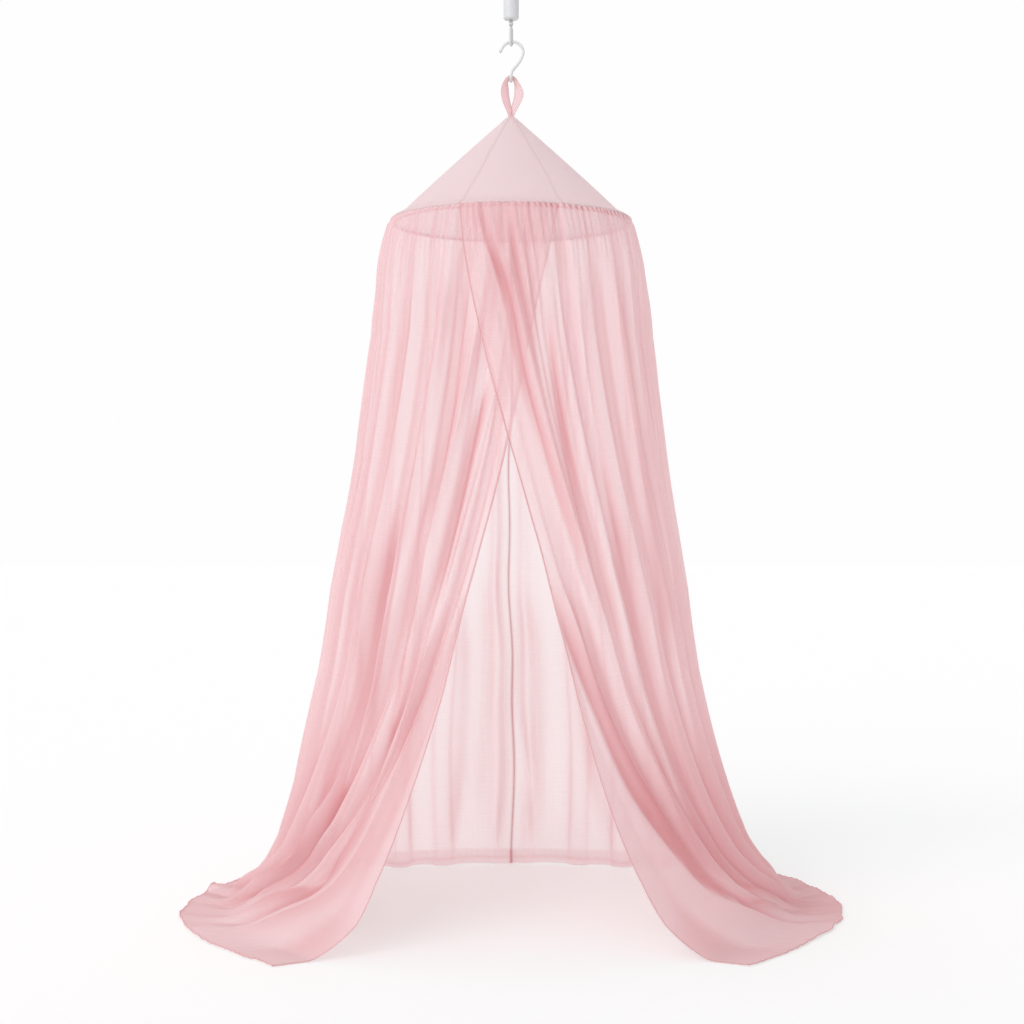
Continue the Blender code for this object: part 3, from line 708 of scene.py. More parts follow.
def averaged(values, spread):
    """Each value averaged with those beside it. spread is in columns."""
    numbers = np.arange(len(values))
    weights = np.exp(-(((numbers[:, None] - numbers[None, :]) / spread) ** 2) / 2)
    return weights / weights.sum(axis=1, keepdims=True) @ values


def hollows(height, spread, depth):
    """From 0 to 1, how deep each point lies between the folds beside it."""
    return np.clip((averaged(height, spread) - height) / depth, 0, 1)


def curtain_points(lines, folds, drawn, seed, slack):
    """Grid of points of one curtain, and for each its place on the cloth, height and steepness, and how far
    it doubles up and is painted shaded beside a drawn fold."""
    last = len(folds) + EDGE_PHASE
    flap = np.linspace(EDGE_PHASE, 1, round(COLUMNS * FLAP_SHARE), endpoint=False)
    along = np.linspace(0, 1, COLUMNS + 1 - len(flap))
    along = along * (WIDEST_COLUMNS + (1 - WIDEST_COLUMNS) * along)
    phases = np.concatenate([flap, 1 + (last - 1) * along])
    downs = spaced_levels(lines, ROWS)
    across, height = main_folds(folds, phases, downs)
    down = np.broadcast_to(downs, across.shape)
    where_drawn = (1 - rising(across, *DRAWN_ACROSS)) * rising(down, *DRAWN_DOWN)
    behind = rising(across, *BEHIND_ACROSS) * rising(down, *BEHIND_DOWN)
    height = height + fine_folds(across, down, seed) * (1 - CALMER_THERE * (where_drawn + behind))
    drawn_height, doubled_and_shaded = drawn_folds(across, down, drawn)
    height = height + drawn_height - slack * np.interp(downs, *np.transpose(SLACK))[None, :]
    seam_fold = bell(across, BACK_SEAM_PLACE, BACK_SEAM_WIDTH)
    seam_fold = seam_fold * rising(down, *SEAM_FOLD_START) * rising(-down, *SEAM_FOLD_END)
    near_hem = rising(down, *NEAR_HEM)
    start = np.random.default_rng(seed + 1).uniform(0, 2 * math.pi)
    ripple = near_hem * HEM_RIPPLE * (1 + uneven_wave(across, RIPPLE_TURNS, start))
    height = height - BACK_SEAM_FOLD * seam_fold + ripple
    smooth = lines.at(across, down)
    pitch = np.linalg.norm(np.gradient(smooth, axis=0), axis=-1)
    steep = np.gradient(height, axis=0) / np.maximum(pitch, SMALLEST_PITCH)
    points = smooth + lines.outward(across, down) * height[..., None]
    points[..., 2] = CLOTH_OVER_FLOOR + soft_floor(points[..., 2] - CLOTH_OVER_FLOOR)
    drawn_up = uneven_wave(across, WAVE_TURNS, start) * HEM_WAVE
    drawn_up += uneven_wave(across, SCALLOP_TURNS, start) * HEM_SCALLOP
    points[..., :2] -= unit(points[..., :2]) * (near_hem * (drawn_up + HEM_WAVE))[..., None]
    return points, across, down, height, np.abs(steep), doubled_and_shaded


print("grid", COLUMNS, "by", ROWS)

# %% [markdown]
# The front edges and the bottom have narrow rolled hems, and at the back the two curtains are
# sewn together with the seam allowance standing inward. A sewer rolls the edge over on itself,
# and the mesh does the same: a few more rows of the grid turn round a small circle.

# %% Hems and back seam
ROLL_RADIUS = 0.0016
ROLL_TURNS_DEG = (50, 105, 165, 225, 285)
SEAM_STEPS = (0.0012, 0.0024, 0.0036, 0.0048)
SEAM_HALF_GAP = 0.0006
SEAM_CLOSES = 0.95
FIN_WAVE = 0.25
FIN_TURNS = (90, 1.5, 31)
FIN_WAVE_STARTS = 0.1


def rolled(edge, inner, normal, radius=ROLL_RADIUS):
    """Rows that roll an edge round a small circle on the side that the normal points to."""
    away = unit(edge - inner)
    centre = edge + normal * radius
    rows = []
    for degrees in ROLL_TURNS_DEG:
        turn = math.radians(degrees)
        rows.append(centre + radius * (away * math.sin(turn) - normal * math.cos(turn)))
    return rows


def edge_normal(points, axis, side):
    """Normal of the grid along one of its edges, outward for the right curtain."""
    wide = np.gradient(points, axis=0)
    long = np.gradient(points, axis=1)
    normal = unit(np.cross(long, wide))
    return np.take(normal, side, axis=axis)


def with_hems(points, marks):
    """The grid with its hem rolled up at the bottom and front, and a seam allowance behind. The
    marks are arrays on the grid, and keep their edge values on the new rows."""
    rows = rolled(points[:, -1], points[:, -2], edge_normal(points, 1, -1))
    points = np.concatenate([points] + [row[:, None] for row in rows], axis=1)
    columns = rolled(points[0], points[1], edge_normal(points, 0, 0))
    edge = points[-1]
    along = np.linspace(0, 1, points.shape[1])
    fins = []
    for number, reach in enumerate(SEAM_STEPS):
        fin = edge.copy()
        wave = FIN_WAVE * reach * uneven_wave(along, FIN_TURNS)
        fin[:, 0] = SEAM_HALF_GAP * (1 - SEAM_CLOSES * (number + 1) / len(SEAM_STEPS))
        fin[:, 1] = edge[:, 1] - reach - wave * rising(along, 0, FIN_WAVE_STARTS)
        fins.append(fin)
    points = np.concatenate([np.array(columns[::-1]), points, np.array(fins)], axis=0)
    spread = ((len(columns), len(fins)), (0, len(rows)))
    return points, [np.pad(mark, spread, mode="edge") for mark in marks]


print("rolled hem", 2 * ROLL_RADIUS * 1000, "mm thick")

# %% [markdown]
# The cloth looks denser in some places than in others, and the number of layers carries that to the
# material. It is higher at hems, in hollows, on the steep sides of folds and on the trains, and lower near
# the hoop and on the back trail; the levels down the right curtain stand partly for painted shade. A second
# mark tints the cloth deeper: at the hems and the seam, along the foot of the back wall, and as painted
# shade in the pockets under the hoop, in the deepest folds, beside the drawn folds and on the trains.

# %% Layers, seams and painted shade
HEM_WIDTH = 0.006
HEM_LAYERS = 1.5
HEADING_LAYERS = 0.72
CROWDING = 0.8
FINE_HOLLOWS = 0.16
WIDE_HOLLOWS = 0.70
PINCH_LAYERS = 0.9
SHADE_SPREAD = 1.3
FULLER_DOWN = (0, 0.15, 0.30, 0.45, 0.70, 0.85, 0.95)
# The right curtain's levels are partly painted shade: more layers make it darker where it lies away from the
# key light.
RIGHT_DENSITY_AND_SHADE = (0.15, 0.42, 0.30, 0.00, -0.20, 0.02, 0.55)
LEFT_FULLER = (0.05, -0.10, -0.14, -0.18, -0.28, -0.14, 0.02)
BACK_FULLER = (0.0, -0.05, -0.14, -0.18, -0.04, 0.12, 0.0)
DOUBLED_LAYERS = 0.66
TRAIN_LAYERS = 0.80
LYING_THINNER = 0.20
BACK_LAYERS = 1.18
BACK_TRAIL_LAYERS = 0.60
BACK_TRAIL_FROM = 0.10
BACK_TRAIL_OVER = 0.30
GAP_HALF_WIDTH = 0.34
FOOT_PLACE = 0.897
FOOT_SPREAD = 0.005
FOOT_LAYERS = 0.2
HEADING_FADE = (0, 0.6)
MOST_CROWDING = 1.2
IN_FRONT = (0.55, 0.15)
FINE_SPREAD = 3
FINE_DEPTH = 0.0020
WIDE_SPREAD = 14
WIDE_DEPTH = 0.0070
FINE_AT_RIM = 1.6
RIM_FINE_END = (0.04, 0.10)
FINE_END = (0.25, 0.4)
WIDE_BEHIND = 0.25
TRAIN_START = (0.55, 0.3)
LYING_START = (0.91, 0.05)
CROSSING_SHARE_OF_TONE = 0.35
PAST_CROSSING = (0.15, 0.15)
AT_RIM_END = (0.002, 0.008)
VALLEY_START = (0.1, 0.6)
BELOW_RIM_END = (0.01, 0.06)
RIGHT_FROM_DEG = (-8, 35)
ROUND_SIDE_DEG = (80, 20)
FEWEST_POCKET_SHADOW = 0.12
PINCH_SHARE = 0.35
RIM_LAYERS = 0.3
FLAP_END = (0.03, 0.10)
FLAP_SPREADS = (0.75, 0.2)
FLAP_WIDER = 0.20
ON_TRAIN = (0.60, 0.28)
HOLLOW_PAINTED_SHADE = 0.25
DOUBLED_PAINTED_SHADE = 0.28
TRAIN_PAINTED_SHADE = 0.20
RIGHT_TRAIN_PAINTED_SHADE = 0.18
MOST_PAINTED_SHADE = 0.8
FOOT_BEHIND = (0.24, 0.06)
FOOT_CREASE = 0.35
BESIDE_SEAM = (0.994, 0.004)
SEAM_LAYERS = 0.25
BACK_TRAIL_START = (0.90, 0.03)
THROUGH_GAP_THINNER = 0.27


def hoop_marks(across, down, points, side):
    """What the gathering shows just under the hoop: 1 at the heading itself, 1 in the valleys between
    pinches, how far each point is to the right, and how strong the painted shadow in the pockets there is,
    stronger to the right of the front."""
    at_rim = 1 - rising(down, *AT_RIM_END)
    valley = rising(-rim_pinch(across), *VALLEY_START)
    along_hoop = np.degrees(np.arctan2(points[..., 0] * side, -points[..., 1]))
    to_right = rising(along_hoop, *RIGHT_FROM_DEG)
    pocket_shadow = FEWEST_POCKET_SHADOW + (1 - FEWEST_POCKET_SHADOW) * to_right * (1 - rising(along_hoop, *ROUND_SIDE_DEG))
    return at_rim, valley, to_right, pocket_shadow


def folded_layers(down, height, steep, doubled_and_shaded, wide, in_front):
    """The number of layers from the folds: more in hollows, on steep sides and where it doubles."""
    fine = hollows(height, FINE_SPREAD, FINE_DEPTH)
    fine = fine * (1 + FINE_AT_RIM * (1 - rising(down, *RIM_FINE_END))) * (1 - rising(down, *FINE_END))
    layers = 1 + (HEADING_LAYERS - 1) * (1 - rising(down, *HEADING_FADE))
    layers = layers * (1 + CROWDING * np.minimum(steep**2, MOST_CROWDING))
    wide_share = WIDE_BEHIND + (1 - WIDE_BEHIND) * in_front
    layers = layers * (1 + FINE_HOLLOWS * fine + WIDE_HOLLOWS * wide * wide_share)
    return averaged(layers * (1 + DOUBLED_LAYERS * doubled_and_shaded), SHADE_SPREAD)


def toned_layers(layers, across, down, in_front, density_and_shade):
    """The same, denser or thinner by region: trains, back wall, and levels down each side. The right
    curtain's levels are partly painted shade, denser where that side lies away from the key light.
    """
    layers = layers * (1 + TRAIN_LAYERS * in_front * rising(down, *TRAIN_START))
    layers = layers * (1 - LYING_THINNER * rising(down, *LYING_START))
    layers = layers * (BACK_LAYERS + (1 - BACK_LAYERS) * in_front)
    off_crossing = CROSSING_SHARE_OF_TONE + (1 - CROSSING_SHARE_OF_TONE) * rising(across, *PAST_CROSSING)
    layers = layers * (1 + in_front * off_crossing * np.interp(down, FULLER_DOWN, density_and_shade))
    return layers * (1 + (1 - in_front) * np.interp(down, FULLER_DOWN, BACK_FULLER))


def layers_seams_and_shade(points, across, down, height, steep, doubled_and_shaded, side, density_and_shade):
    """The number of layers, and how far the cloth is tinted deeper at seams and hems and by painted shade,
    at every point of a curtain.
    """
    in_front = 1 - rising(across, *IN_FRONT)
    wide = hollows(height, WIDE_SPREAD, WIDE_DEPTH)
    layers = folded_layers(down, height, steep, doubled_and_shaded, wide, in_front)
    layers = toned_layers(layers, across, down, in_front, density_and_shade)
    # The pockets between the pinches under the roof's edge get painted shadow: more layers and a deeper
    # tint, stronger to the right.
    at_rim, valley, to_right, pocket_shadow = hoop_marks(across, down, points, side)
    below = (1 - rising(down, *BELOW_RIM_END)) * (1 - at_rim)
    layers = layers * (1 + PINCH_LAYERS * below * valley * (PINCH_SHARE + (1 - PINCH_SHARE) * pocket_shadow))
    layers = layers + (RIM_LAYERS + (1 - RIM_LAYERS) * pocket_shadow) * at_rim * (1 - valley)
    # Painted shade: the cloth is tinted deeper in wide hollows, beside the drawn folds and on the trains,
    # more on the right side.
    off_flap = rising(across - FLAP_WIDER * rising(down, *FLAP_SPREADS), *FLAP_END)
    on_train = in_front * rising(down, *ON_TRAIN) * (1 + off_flap) / 2
    train_shade = (TRAIN_PAINTED_SHADE + RIGHT_TRAIN_PAINTED_SHADE * to_right) * on_train
    painted_shade = np.clip(HOLLOW_PAINTED_SHADE * wide * in_front + DOUBLED_PAINTED_SHADE * doubled_and_shaded + train_shade, 0, MOST_PAINTED_SHADE)
    seam_and_shade = np.maximum(at_rim * valley * pocket_shadow, painted_shade)
    foot = bell(down, FOOT_PLACE, FOOT_SPREAD) * rising(points[..., 1], *FOOT_BEHIND)
    beside_seam = rising(across, *BESIDE_SEAM)
    layers = layers + FOOT_LAYERS * foot + SEAM_LAYERS * beside_seam
    seam_and_shade = np.maximum(np.maximum(seam_and_shade, FOOT_CREASE * foot), beside_seam)
    from_front = np.linalg.norm(points - points[:1], axis=-1)
    from_hem = np.linalg.norm(points - points[:, -1:], axis=-1)
    layers = np.where(np.minimum(from_front, from_hem) < HEM_WIDTH, HEM_LAYERS, layers)
    trail = rising(down, *BACK_TRAIL_START) * rising(points[..., 1], BACK_TRAIL_FROM, BACK_TRAIL_OVER)
    through_gap = np.exp(-((points[..., 0] / GAP_HALF_WIDTH) ** 4))
    thinner = 1 - BACK_TRAIL_LAYERS + THROUGH_GAP_THINNER * through_gap
    return layers * (1 - thinner * trail), seam_and_shade


print("levels of tone", len(FULLER_DOWN))

# %% [markdown]
# A grid operator makes the flat cloth and its points are then moved to where the cloth hangs.
# The mesh keeps the two marks, and a UV map in metres of flat cloth for the weave. The seam that
# joins the curtains behind sways a little from side to side.

# %% Build the curtains
CURTAIN_WIDTH = 2.05
CURTAIN_LENGTH = 1.95
ROLLED_LAYERS = 1.5
ROLLED_CREASE = 0.35
SEAM_WAVE = 0.0065
SEAM_TURNS = (9, 1, 34, 0.4)
SEAM_WAVE_DOWN = (0, 0.3)
SEAM_WAVE_ACROSS = (0.90, 0.10)


def placed_piece(name, mesh, material):
    """An object that holds the mesh, smooth and in one material, on the canopy's only body."""
    mesh.name = name
    mesh.shade_smooth()
    mesh.materials.clear()
    mesh.materials.append(material)
    piece = bpy.data.objects.new(name, mesh)
    bpy.context.scene.collection.objects.link(piece)
    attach(piece, "root")
    return piece


def sheet_piece(name, points, flat, layers, seam_and_shade, outward_is_up, material):
    """A piece through a grid of points, with its UV map, its number of layers and its deeper tint for seams,
    hems and painted shade.
    """
    columns, rows = points.shape[:2]
    cloth = bmesh.new()
    bmesh.ops.create_grid(cloth, x_segments=columns - 1, y_segments=rows - 1, size=1)
    if not outward_is_up:
        bmesh.ops.reverse_faces(cloth, faces=cloth.faces)
    mesh = bpy.data.meshes.new(name)
    cloth.to_mesh(mesh)
    cloth.free()
    placed = points - np.array([0, 0, HANG_HEIGHT])
    mesh.vertices.foreach_set("co", placed.transpose(1, 0, 2).ravel())
    corner_verts = np.zeros(len(mesh.loops), dtype=np.int32)
    mesh.loops.foreach_get("vertex_index", corner_verts)
    flat_places = flat.transpose(1, 0, 2).reshape(-1, 2)[corner_verts]
    mesh.uv_layers.new(name="flat_cloth").data.foreach_set("uv", flat_places.ravel())
    for mark, values in (("layers", layers), ("seam_and_shade", seam_and_shade)):
        kept = mesh.attributes.new(mark, "FLOAT", "POINT")
        kept.data.foreach_set("value", values.T.ravel())
    mesh.update()
    return placed_piece(name, mesh, material)


def flat_from(points, width, length):
    """UV places in metres: how far each point is along the cloth, scaled to its cut size."""
    wide = np.linalg.norm(np.diff(points, axis=0), axis=-1).mean(axis=1)
    long = np.linalg.norm(np.diff(points, axis=1), axis=-1).mean(axis=0)
    wide = np.concatenate([[0], np.cumsum(wide)])
    long = np.concatenate([[0], np.cumsum(long)])
    flat = np.zeros((*points.shape[:2], 2))
    flat[..., 0] = (wide / wide[-1] * width)[:, None]
    flat[..., 1] = (long / long[-1] * length)[None, :]
    return flat


def build_curtain(name, node, lines, folds, drawn, seed, side, slack, density_and_shade):
    points, across, down, height, steep, doubled_and_shaded = curtain_points(lines, folds, drawn, seed, slack)
    layers, seam_and_shade = layers_seams_and_shade(points, across, down, height, steep, doubled_and_shaded, side, density_and_shade)
    behind = points[..., 1] > 0
    points[..., 0] = np.where(behind, np.maximum(points[..., 0], SEAM_HALF_GAP), points[..., 0])
    often, start, fine_often, fine_share = SEAM_TURNS
    seam_wave = SEAM_WAVE * (np.sin(down * often + start) + fine_share * np.sin(down * fine_often))
    seam_wave = seam_wave * rising(down, *SEAM_WAVE_DOWN) * rising(across, *SEAM_WAVE_ACROSS)
    points, (layers, seam_and_shade, seam_wave) = with_hems(points, (layers, seam_and_shade, seam_wave))
    rolls = len(ROLL_TURNS_DEG)
    layers[:rolls] = ROLLED_LAYERS
    layers[:, -rolls:] = np.where(points[:, -rolls:, 1] > BACK_TRAIL_FROM, layers[:, -rolls:], ROLLED_LAYERS)
    seam_and_shade[:rolls], seam_and_shade[:, -rolls:] = ROLLED_CREASE, ROLLED_CREASE
    flat = flat_from(points, CURTAIN_WIDTH, CURTAIN_LENGTH)
    points[..., 0] = points[..., 0] * side + seam_wave
    piece = sheet_piece(name, points, flat, layers, seam_and_shade, side < 0, voile)
    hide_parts(node)
    return piece


curtain_right = build_curtain("voile_right", "curtain_right", right_lines, RIGHT_FOLDS, RIGHT_DRAWN,
                              seed=11, side=1, slack=0.85, density_and_shade=RIGHT_DENSITY_AND_SHADE)
curtain_left = build_curtain("voile_left", "curtain_left", left_lines, LEFT_FOLDS, LEFT_DRAWN,
                             seed=27, side=-1, slack=1.15, density_and_shade=LEFT_FULLER)
print("triangles per curtain", 2 * len(curtain_right.data.polygons))

# %% [markdown]
# The roof is a closer, less sheer cloth. It is a cone of eight gores that sags a little, sewn
# with flat seams that stand slightly proud, and its lower edge is turned under over the heading.
# The cone is a grid that goes once round; its first and last columns are merged into one.

# %% Roof
RIM_RADIUS = 0.306
RIM_HEIGHT = 1.7055
THROAT_RADIUS = 0.0088
THROAT_HEIGHT = 1.970
GORES = 8
FRONT_GORE_DEG = 48.2
ROOF_TURN_DEG = 0.6
ROOF_COLUMNS = 448
ROOF_ROWS = 96
SEAM_WIDTH = 0.0035
SEAM_RISE = 0.0006
STITCH_APART = 0.0030
STITCH_WIDTH = 0.0009
ROOF_SAG = 0.0085
RIM_PUCKER = 0.0012
RIM_ROLL = 0.0009
FIRST_ROW = 0.012
CLOSER_ROWS = 0.35
NEAR_RIM = (0.955, 0.045)
PUCKER_TURNS = (98, 2.0, 7)
CRUMPLE = 0.0006
CRUMPLE_TURNS = (22, 1.2, 5)
CRUMPLE_START = (0, 0.02)
CRUMPLE_END = (0, 0.14)
SAG_DOWN = 2.5
SAG_END = (0.90, 0.10)
SEAM_MORE = 0.5
TURNED_UNDER = (0.97, 0.02)
STITCH_CREASE = 0.6
STITCHES_START = (0, 0.05)
MERGE_WITHIN = 0.00002


def seam_angles():
    other = (360 - FRONT_GORE_DEG) / (GORES - 1)
    start = ROOF_TURN_DEG - FRONT_GORE_DEG / 2
    return np.radians([start] + [start + FRONT_GORE_DEG + other * n for n in range(GORES - 1)])


def roof_points():
    turn = np.linspace(0, 2 * math.pi, ROOF_COLUMNS + 1)[:, None] + math.pi
    share = np.concatenate([[0], np.geomspace(FIRST_ROW, 1, ROOF_ROWS)])[None, :]
    share = CLOSER_ROWS * share + (1 - CLOSER_ROWS) * np.linspace(0, 1, ROOF_ROWS + 1)[None, :]
    radius = THROAT_RADIUS + (RIM_RADIUS - THROAT_RADIUS) * share
    height = THROAT_HEIGHT + (RIM_HEIGHT - THROAT_HEIGHT) * share
    apart = (turn - seam_angles()[None, :] + math.pi) % (2 * math.pi) - math.pi
    apart = np.abs(apart).min(axis=1)[:, None] * radius
    on_seam = np.exp(-((apart / SEAM_WIDTH) ** 4))
    pucker = RIM_PUCKER * uneven_wave(turn, PUCKER_TURNS) * rising(share, *NEAR_RIM)
    crumple = CRUMPLE * uneven_wave(turn, CRUMPLE_TURNS) * rising(share, *CRUMPLE_START)
    crumple = crumple * (1 - rising(share, *CRUMPLE_END))
    sag = ROOF_SAG * share**SAG_DOWN * (1 - rising(share, *SAG_END))
    lift = SEAM_RISE * on_seam + pucker + crumple - sag
    slope = math.atan2(THROAT_HEIGHT - RIM_HEIGHT, RIM_RADIUS - THROAT_RADIUS)
    radius = radius + lift * math.sin(slope)
    height = height + lift * math.cos(slope)
    points = np.stack([np.sin(turn) * radius, -np.cos(turn) * radius, height], axis=-1)
    layers = 1 + SEAM_MORE * on_seam + SEAM_MORE * rising(share, *TURNED_UNDER)
    stitches = bell(apart, 0, STITCH_WIDTH) + bell(apart, STITCH_APART, STITCH_WIDTH)
    seam_and_shade = np.minimum(stitches, 1) * STITCH_CREASE * rising(share, *STITCHES_START)
    grid = points.shape[:2]
    return points, np.broadcast_to(layers, grid).copy(), np.broadcast_to(seam_and_shade, grid).copy()


def close_round(piece):
    """Merge the first and last columns of a grid that goes once round."""
    cloth = bmesh.new()
    cloth.from_mesh(piece.data)
    bmesh.ops.remove_doubles(cloth, verts=cloth.verts, dist=MERGE_WITHIN)
    cloth.to_mesh(piece.data)
    cloth.free()


def build_roof():
    points, layers, seam_and_shade = roof_points()
    inner = points[:, -2]
    normal = edge_normal(points, 1, -1)
    rows = rolled(points[:, -1], inner, -normal, RIM_ROLL)
    points = np.concatenate([points] + [row[:, None] for row in rows], axis=1)
    layers, seam_and_shade = (np.pad(mark, ((0, 0), (0, len(rows))), mode="edge") for mark in (layers, seam_and_shade))
    points[-1] = points[0]
    flat = flat_from(points, 2 * math.pi * RIM_RADIUS, math.hypot(RIM_RADIUS, THROAT_HEIGHT - RIM_HEIGHT))
    piece = sheet_piece("roof", points, flat, layers, seam_and_shade, False, roof_cloth)
    close_round(piece)
    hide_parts(*[f"roof_gore_{n + 1}" for n in range(GORES)])
    return piece


roof = build_roof()
print("roof faces", len(roof.data.polygons))

# %% [markdown]
# The hanging loop is a folded tape that twists as it leaves the point of the roof, opens into a
# ring and lies over the hook. It is one strip whose cross-sections follow a smooth curve. A row
# has a section's centre, its direction across the tape, its half width and how far it curls.

# %% Hanging loop
TAPE_SECTIONS = (
    ((-0.0008, -0.0020, 1.962), (1.0, 0.1, 0.0), 0.0052, 0.2),
    ((-0.0028, -0.0022, 1.980), (1.0, 0.1, 0.0), 0.0062, 0.3),
    ((-0.0098, -0.0030, 2.004), (0.97, 0.2, 0.0), 0.0096, 0.4),
    ((-0.0150, -0.0030, 2.034), (0.95, 0.3, 0.0), 0.0108, 0.5),
    ((-0.0098, -0.0010, 2.058), (0.55, 0.8, 0.1), 0.0115, 1.1),
    ((0.0000, 0.0000, 2.0676), (0.0, 1.0, 0.0), 0.0117, 1.75),
    ((0.0102, -0.0010, 2.057), (-0.55, 0.8, 0.1), 0.0117, 1.1),
    ((0.0196, -0.0030, 2.031), (-0.95, 0.3, 0.0), 0.0125, 0.5),
    ((0.0126, -0.0005, 2.004), (-0.97, 0.2, 0.0), 0.0108, 0.4),
    ((0.0044, 0.0020, 1.980), (-1.0, 0.1, 0.0), 0.0064, 0.3),
    ((0.0010, 0.0020, 1.962), (-1.0, 0.1, 0.0), 0.0052, 0.2),
)
TAPE_STEPS = 12
TAPE_COLUMNS = 24
TAPE_THICK = 0.0016
TAPE_WIDTH = 0.025
TAPE_LENGTH = 0.24
TAPE_CREASE = 0.0004
CREASE_ACROSS = 7
CREASE_ALONG = 9
CREASE_MIDDLE = (0.5, 0.3)
LEFT_LAYERS = 1.7
RIGHT_THINNER = 0.8
THINNER_FROM = (0.52, 0.16)
TAPE_HEM_START = (0.80, 0.08)
TAPE_HEM_END = (0.92, 0.05)
TAPE_HEM_CREASE = 0.5


def build_loop():
    knots = np.linspace(0, 1, len(TAPE_SECTIONS))
    steps = np.linspace(0, 1, (len(TAPE_SECTIONS) - 1) * TAPE_STEPS + 1)
    share = spline_weights(knots, steps)
    centre = share @ np.array([row[0] for row in TAPE_SECTIONS])
    wide = unit(share @ np.array([row[1] for row in TAPE_SECTIONS]))
    half = share @ np.array([row[2] for row in TAPE_SECTIONS])
    curl = share @ np.array([row[3] for row in TAPE_SECTIONS])
    over = unit(np.cross(np.gradient(centre, axis=0), wide))
    side = np.linspace(-1, 1, TAPE_COLUMNS + 1)[:, None]
    sideways = half * np.sin(curl * side) / curl
    upward = half * (1 - np.cos(curl * side)) / curl
    creased = TAPE_CREASE * np.sin(side * CREASE_ACROSS + steps * CREASE_ALONG)
    upward = upward + creased * bell(steps, *CREASE_MIDDLE)
    points = centre + wide * sideways[..., None] + over * upward[..., None]
    layers = np.broadcast_to(LEFT_LAYERS - RIGHT_THINNER * rising(steps, *THINNER_FROM), points.shape[:2])
    hems = rising(np.abs(side), *TAPE_HEM_START) * (1 - rising(np.abs(side), *TAPE_HEM_END))
    seam_and_shade = np.broadcast_to(TAPE_HEM_CREASE * hems, points.shape[:2])
    flat = flat_from(points, TAPE_WIDTH, TAPE_LENGTH)
    piece = sheet_piece("loop_tape", points, flat, layers, seam_and_shade, True, tape_cloth)
    shell = piece.modifiers.new("thickness", "SOLIDIFY")
    shell.thickness = TAPE_THICK
    shell.offset = 0
    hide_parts("hanging_loop")
    return piece


hanging_loop = build_loop()
print("loop faces", len(hanging_loop.data.polygons))

# %% [markdown]
# The hook is a bent wire with a white coat, the hanger above it is moulded plastic and the hoop
# is a plain rod. Each gets a satin finish that is never quite even: a slight mottling of the
# roughness from wear, and a soft darker tone in the moulding.

# %% Hard materials
WEAR_DETAIL = 3.0
WORN_BETWEEN = (0.35, 0.7)
ROUGH_BETWEEN = (0.3, 0.7)
WEAR_BUMP = 0.05
WEAR_RELIEF = 0.0002
COAT_ROUGHNESS = 0.2


def make_wear_group():
    group, start, end = new_group(
        "handling_wear",
        takes={"Colour": "Color", "Worn Colour": "Color", "Size": "Float", "Smooth": "Float",
               "Rough": "Float"},
        gives={"Colour": "Color", "Roughness": "Float", "Height": "Float"},
    )
    place = group.nodes.new("ShaderNodeTexCoord")
    noise = add_node(group, "ShaderNodeTexNoise", Vector=place.outputs["Object"],
                     Scale=start.outputs["Size"], Detail=WEAR_DETAIL).outputs["Fac"]
    low, high = WORN_BETWEEN
    share = add_node(group, "ShaderNodeMapRange", Value=noise, From_Min=low, From_Max=high)
    colour = blend_colours(group, share.outputs[0], start.outputs["Colour"], start.outputs["Worn Colour"])
    low, high = ROUGH_BETWEEN
    rough = add_node(group, "ShaderNodeMapRange", Value=noise, From_Min=low, From_Max=high,
                     To_Min=start.outputs["Smooth"], To_Max=start.outputs["Rough"])
    for name, value in (("Colour", colour), ("Roughness", rough.outputs[0]), ("Height", noise)):
        group.links.new(value, end.inputs[name])
    return group


wear_group = make_wear_group()


def hard_finish(name, colour, worn, size, smooth, rough, coat):
    material, tree = new_material(name)
    wear = group_node(tree, wear_group, Colour=colour, Worn_Colour=worn, Size=size, Smooth=smooth,
                      Rough=rough)
    bump = add_node(tree, "ShaderNodeBump", Strength=WEAR_BUMP, Distance=WEAR_RELIEF,
                    Height=wear.outputs["Height"])
    surface = add_node(
        tree, "ShaderNodeBsdfPrincipled", Base_Color=wear.outputs["Colour"],
        Roughness=wear.outputs["Roughness"], Coat_Weight=coat, Coat_Roughness=COAT_ROUGHNESS,
        Normal=bump.outputs[0],
    )
    show_surface(tree, surface)
    return material


white_coat = hard_finish("white coated wire", colour=linear(214, 214, 216), worn=linear(206, 206, 208),
                         size=70, smooth=0.25, rough=0.4, coat=0.3)
white_plastic = hard_finish("white plastic", colour=linear(205, 206, 208), worn=linear(200, 201, 204),
                            size=40, smooth=0.35, rough=0.5, coat=0.1)
hoop_finish = hard_finish("hoop rod", colour=linear(228, 200, 202), worn=linear(214, 184, 186),
                          size=60, smooth=0.5, rough=0.65, coat=0.0)
print("hard finishes", white_coat.name, white_plastic.name, hoop_finish.name)

# %% [markdown]
# Wires are curves with a round section, turned into meshes so that they hold as plain pieces.
# The S hook's lower bend is turned a quarter round to face the loop, and its tips are rounded.

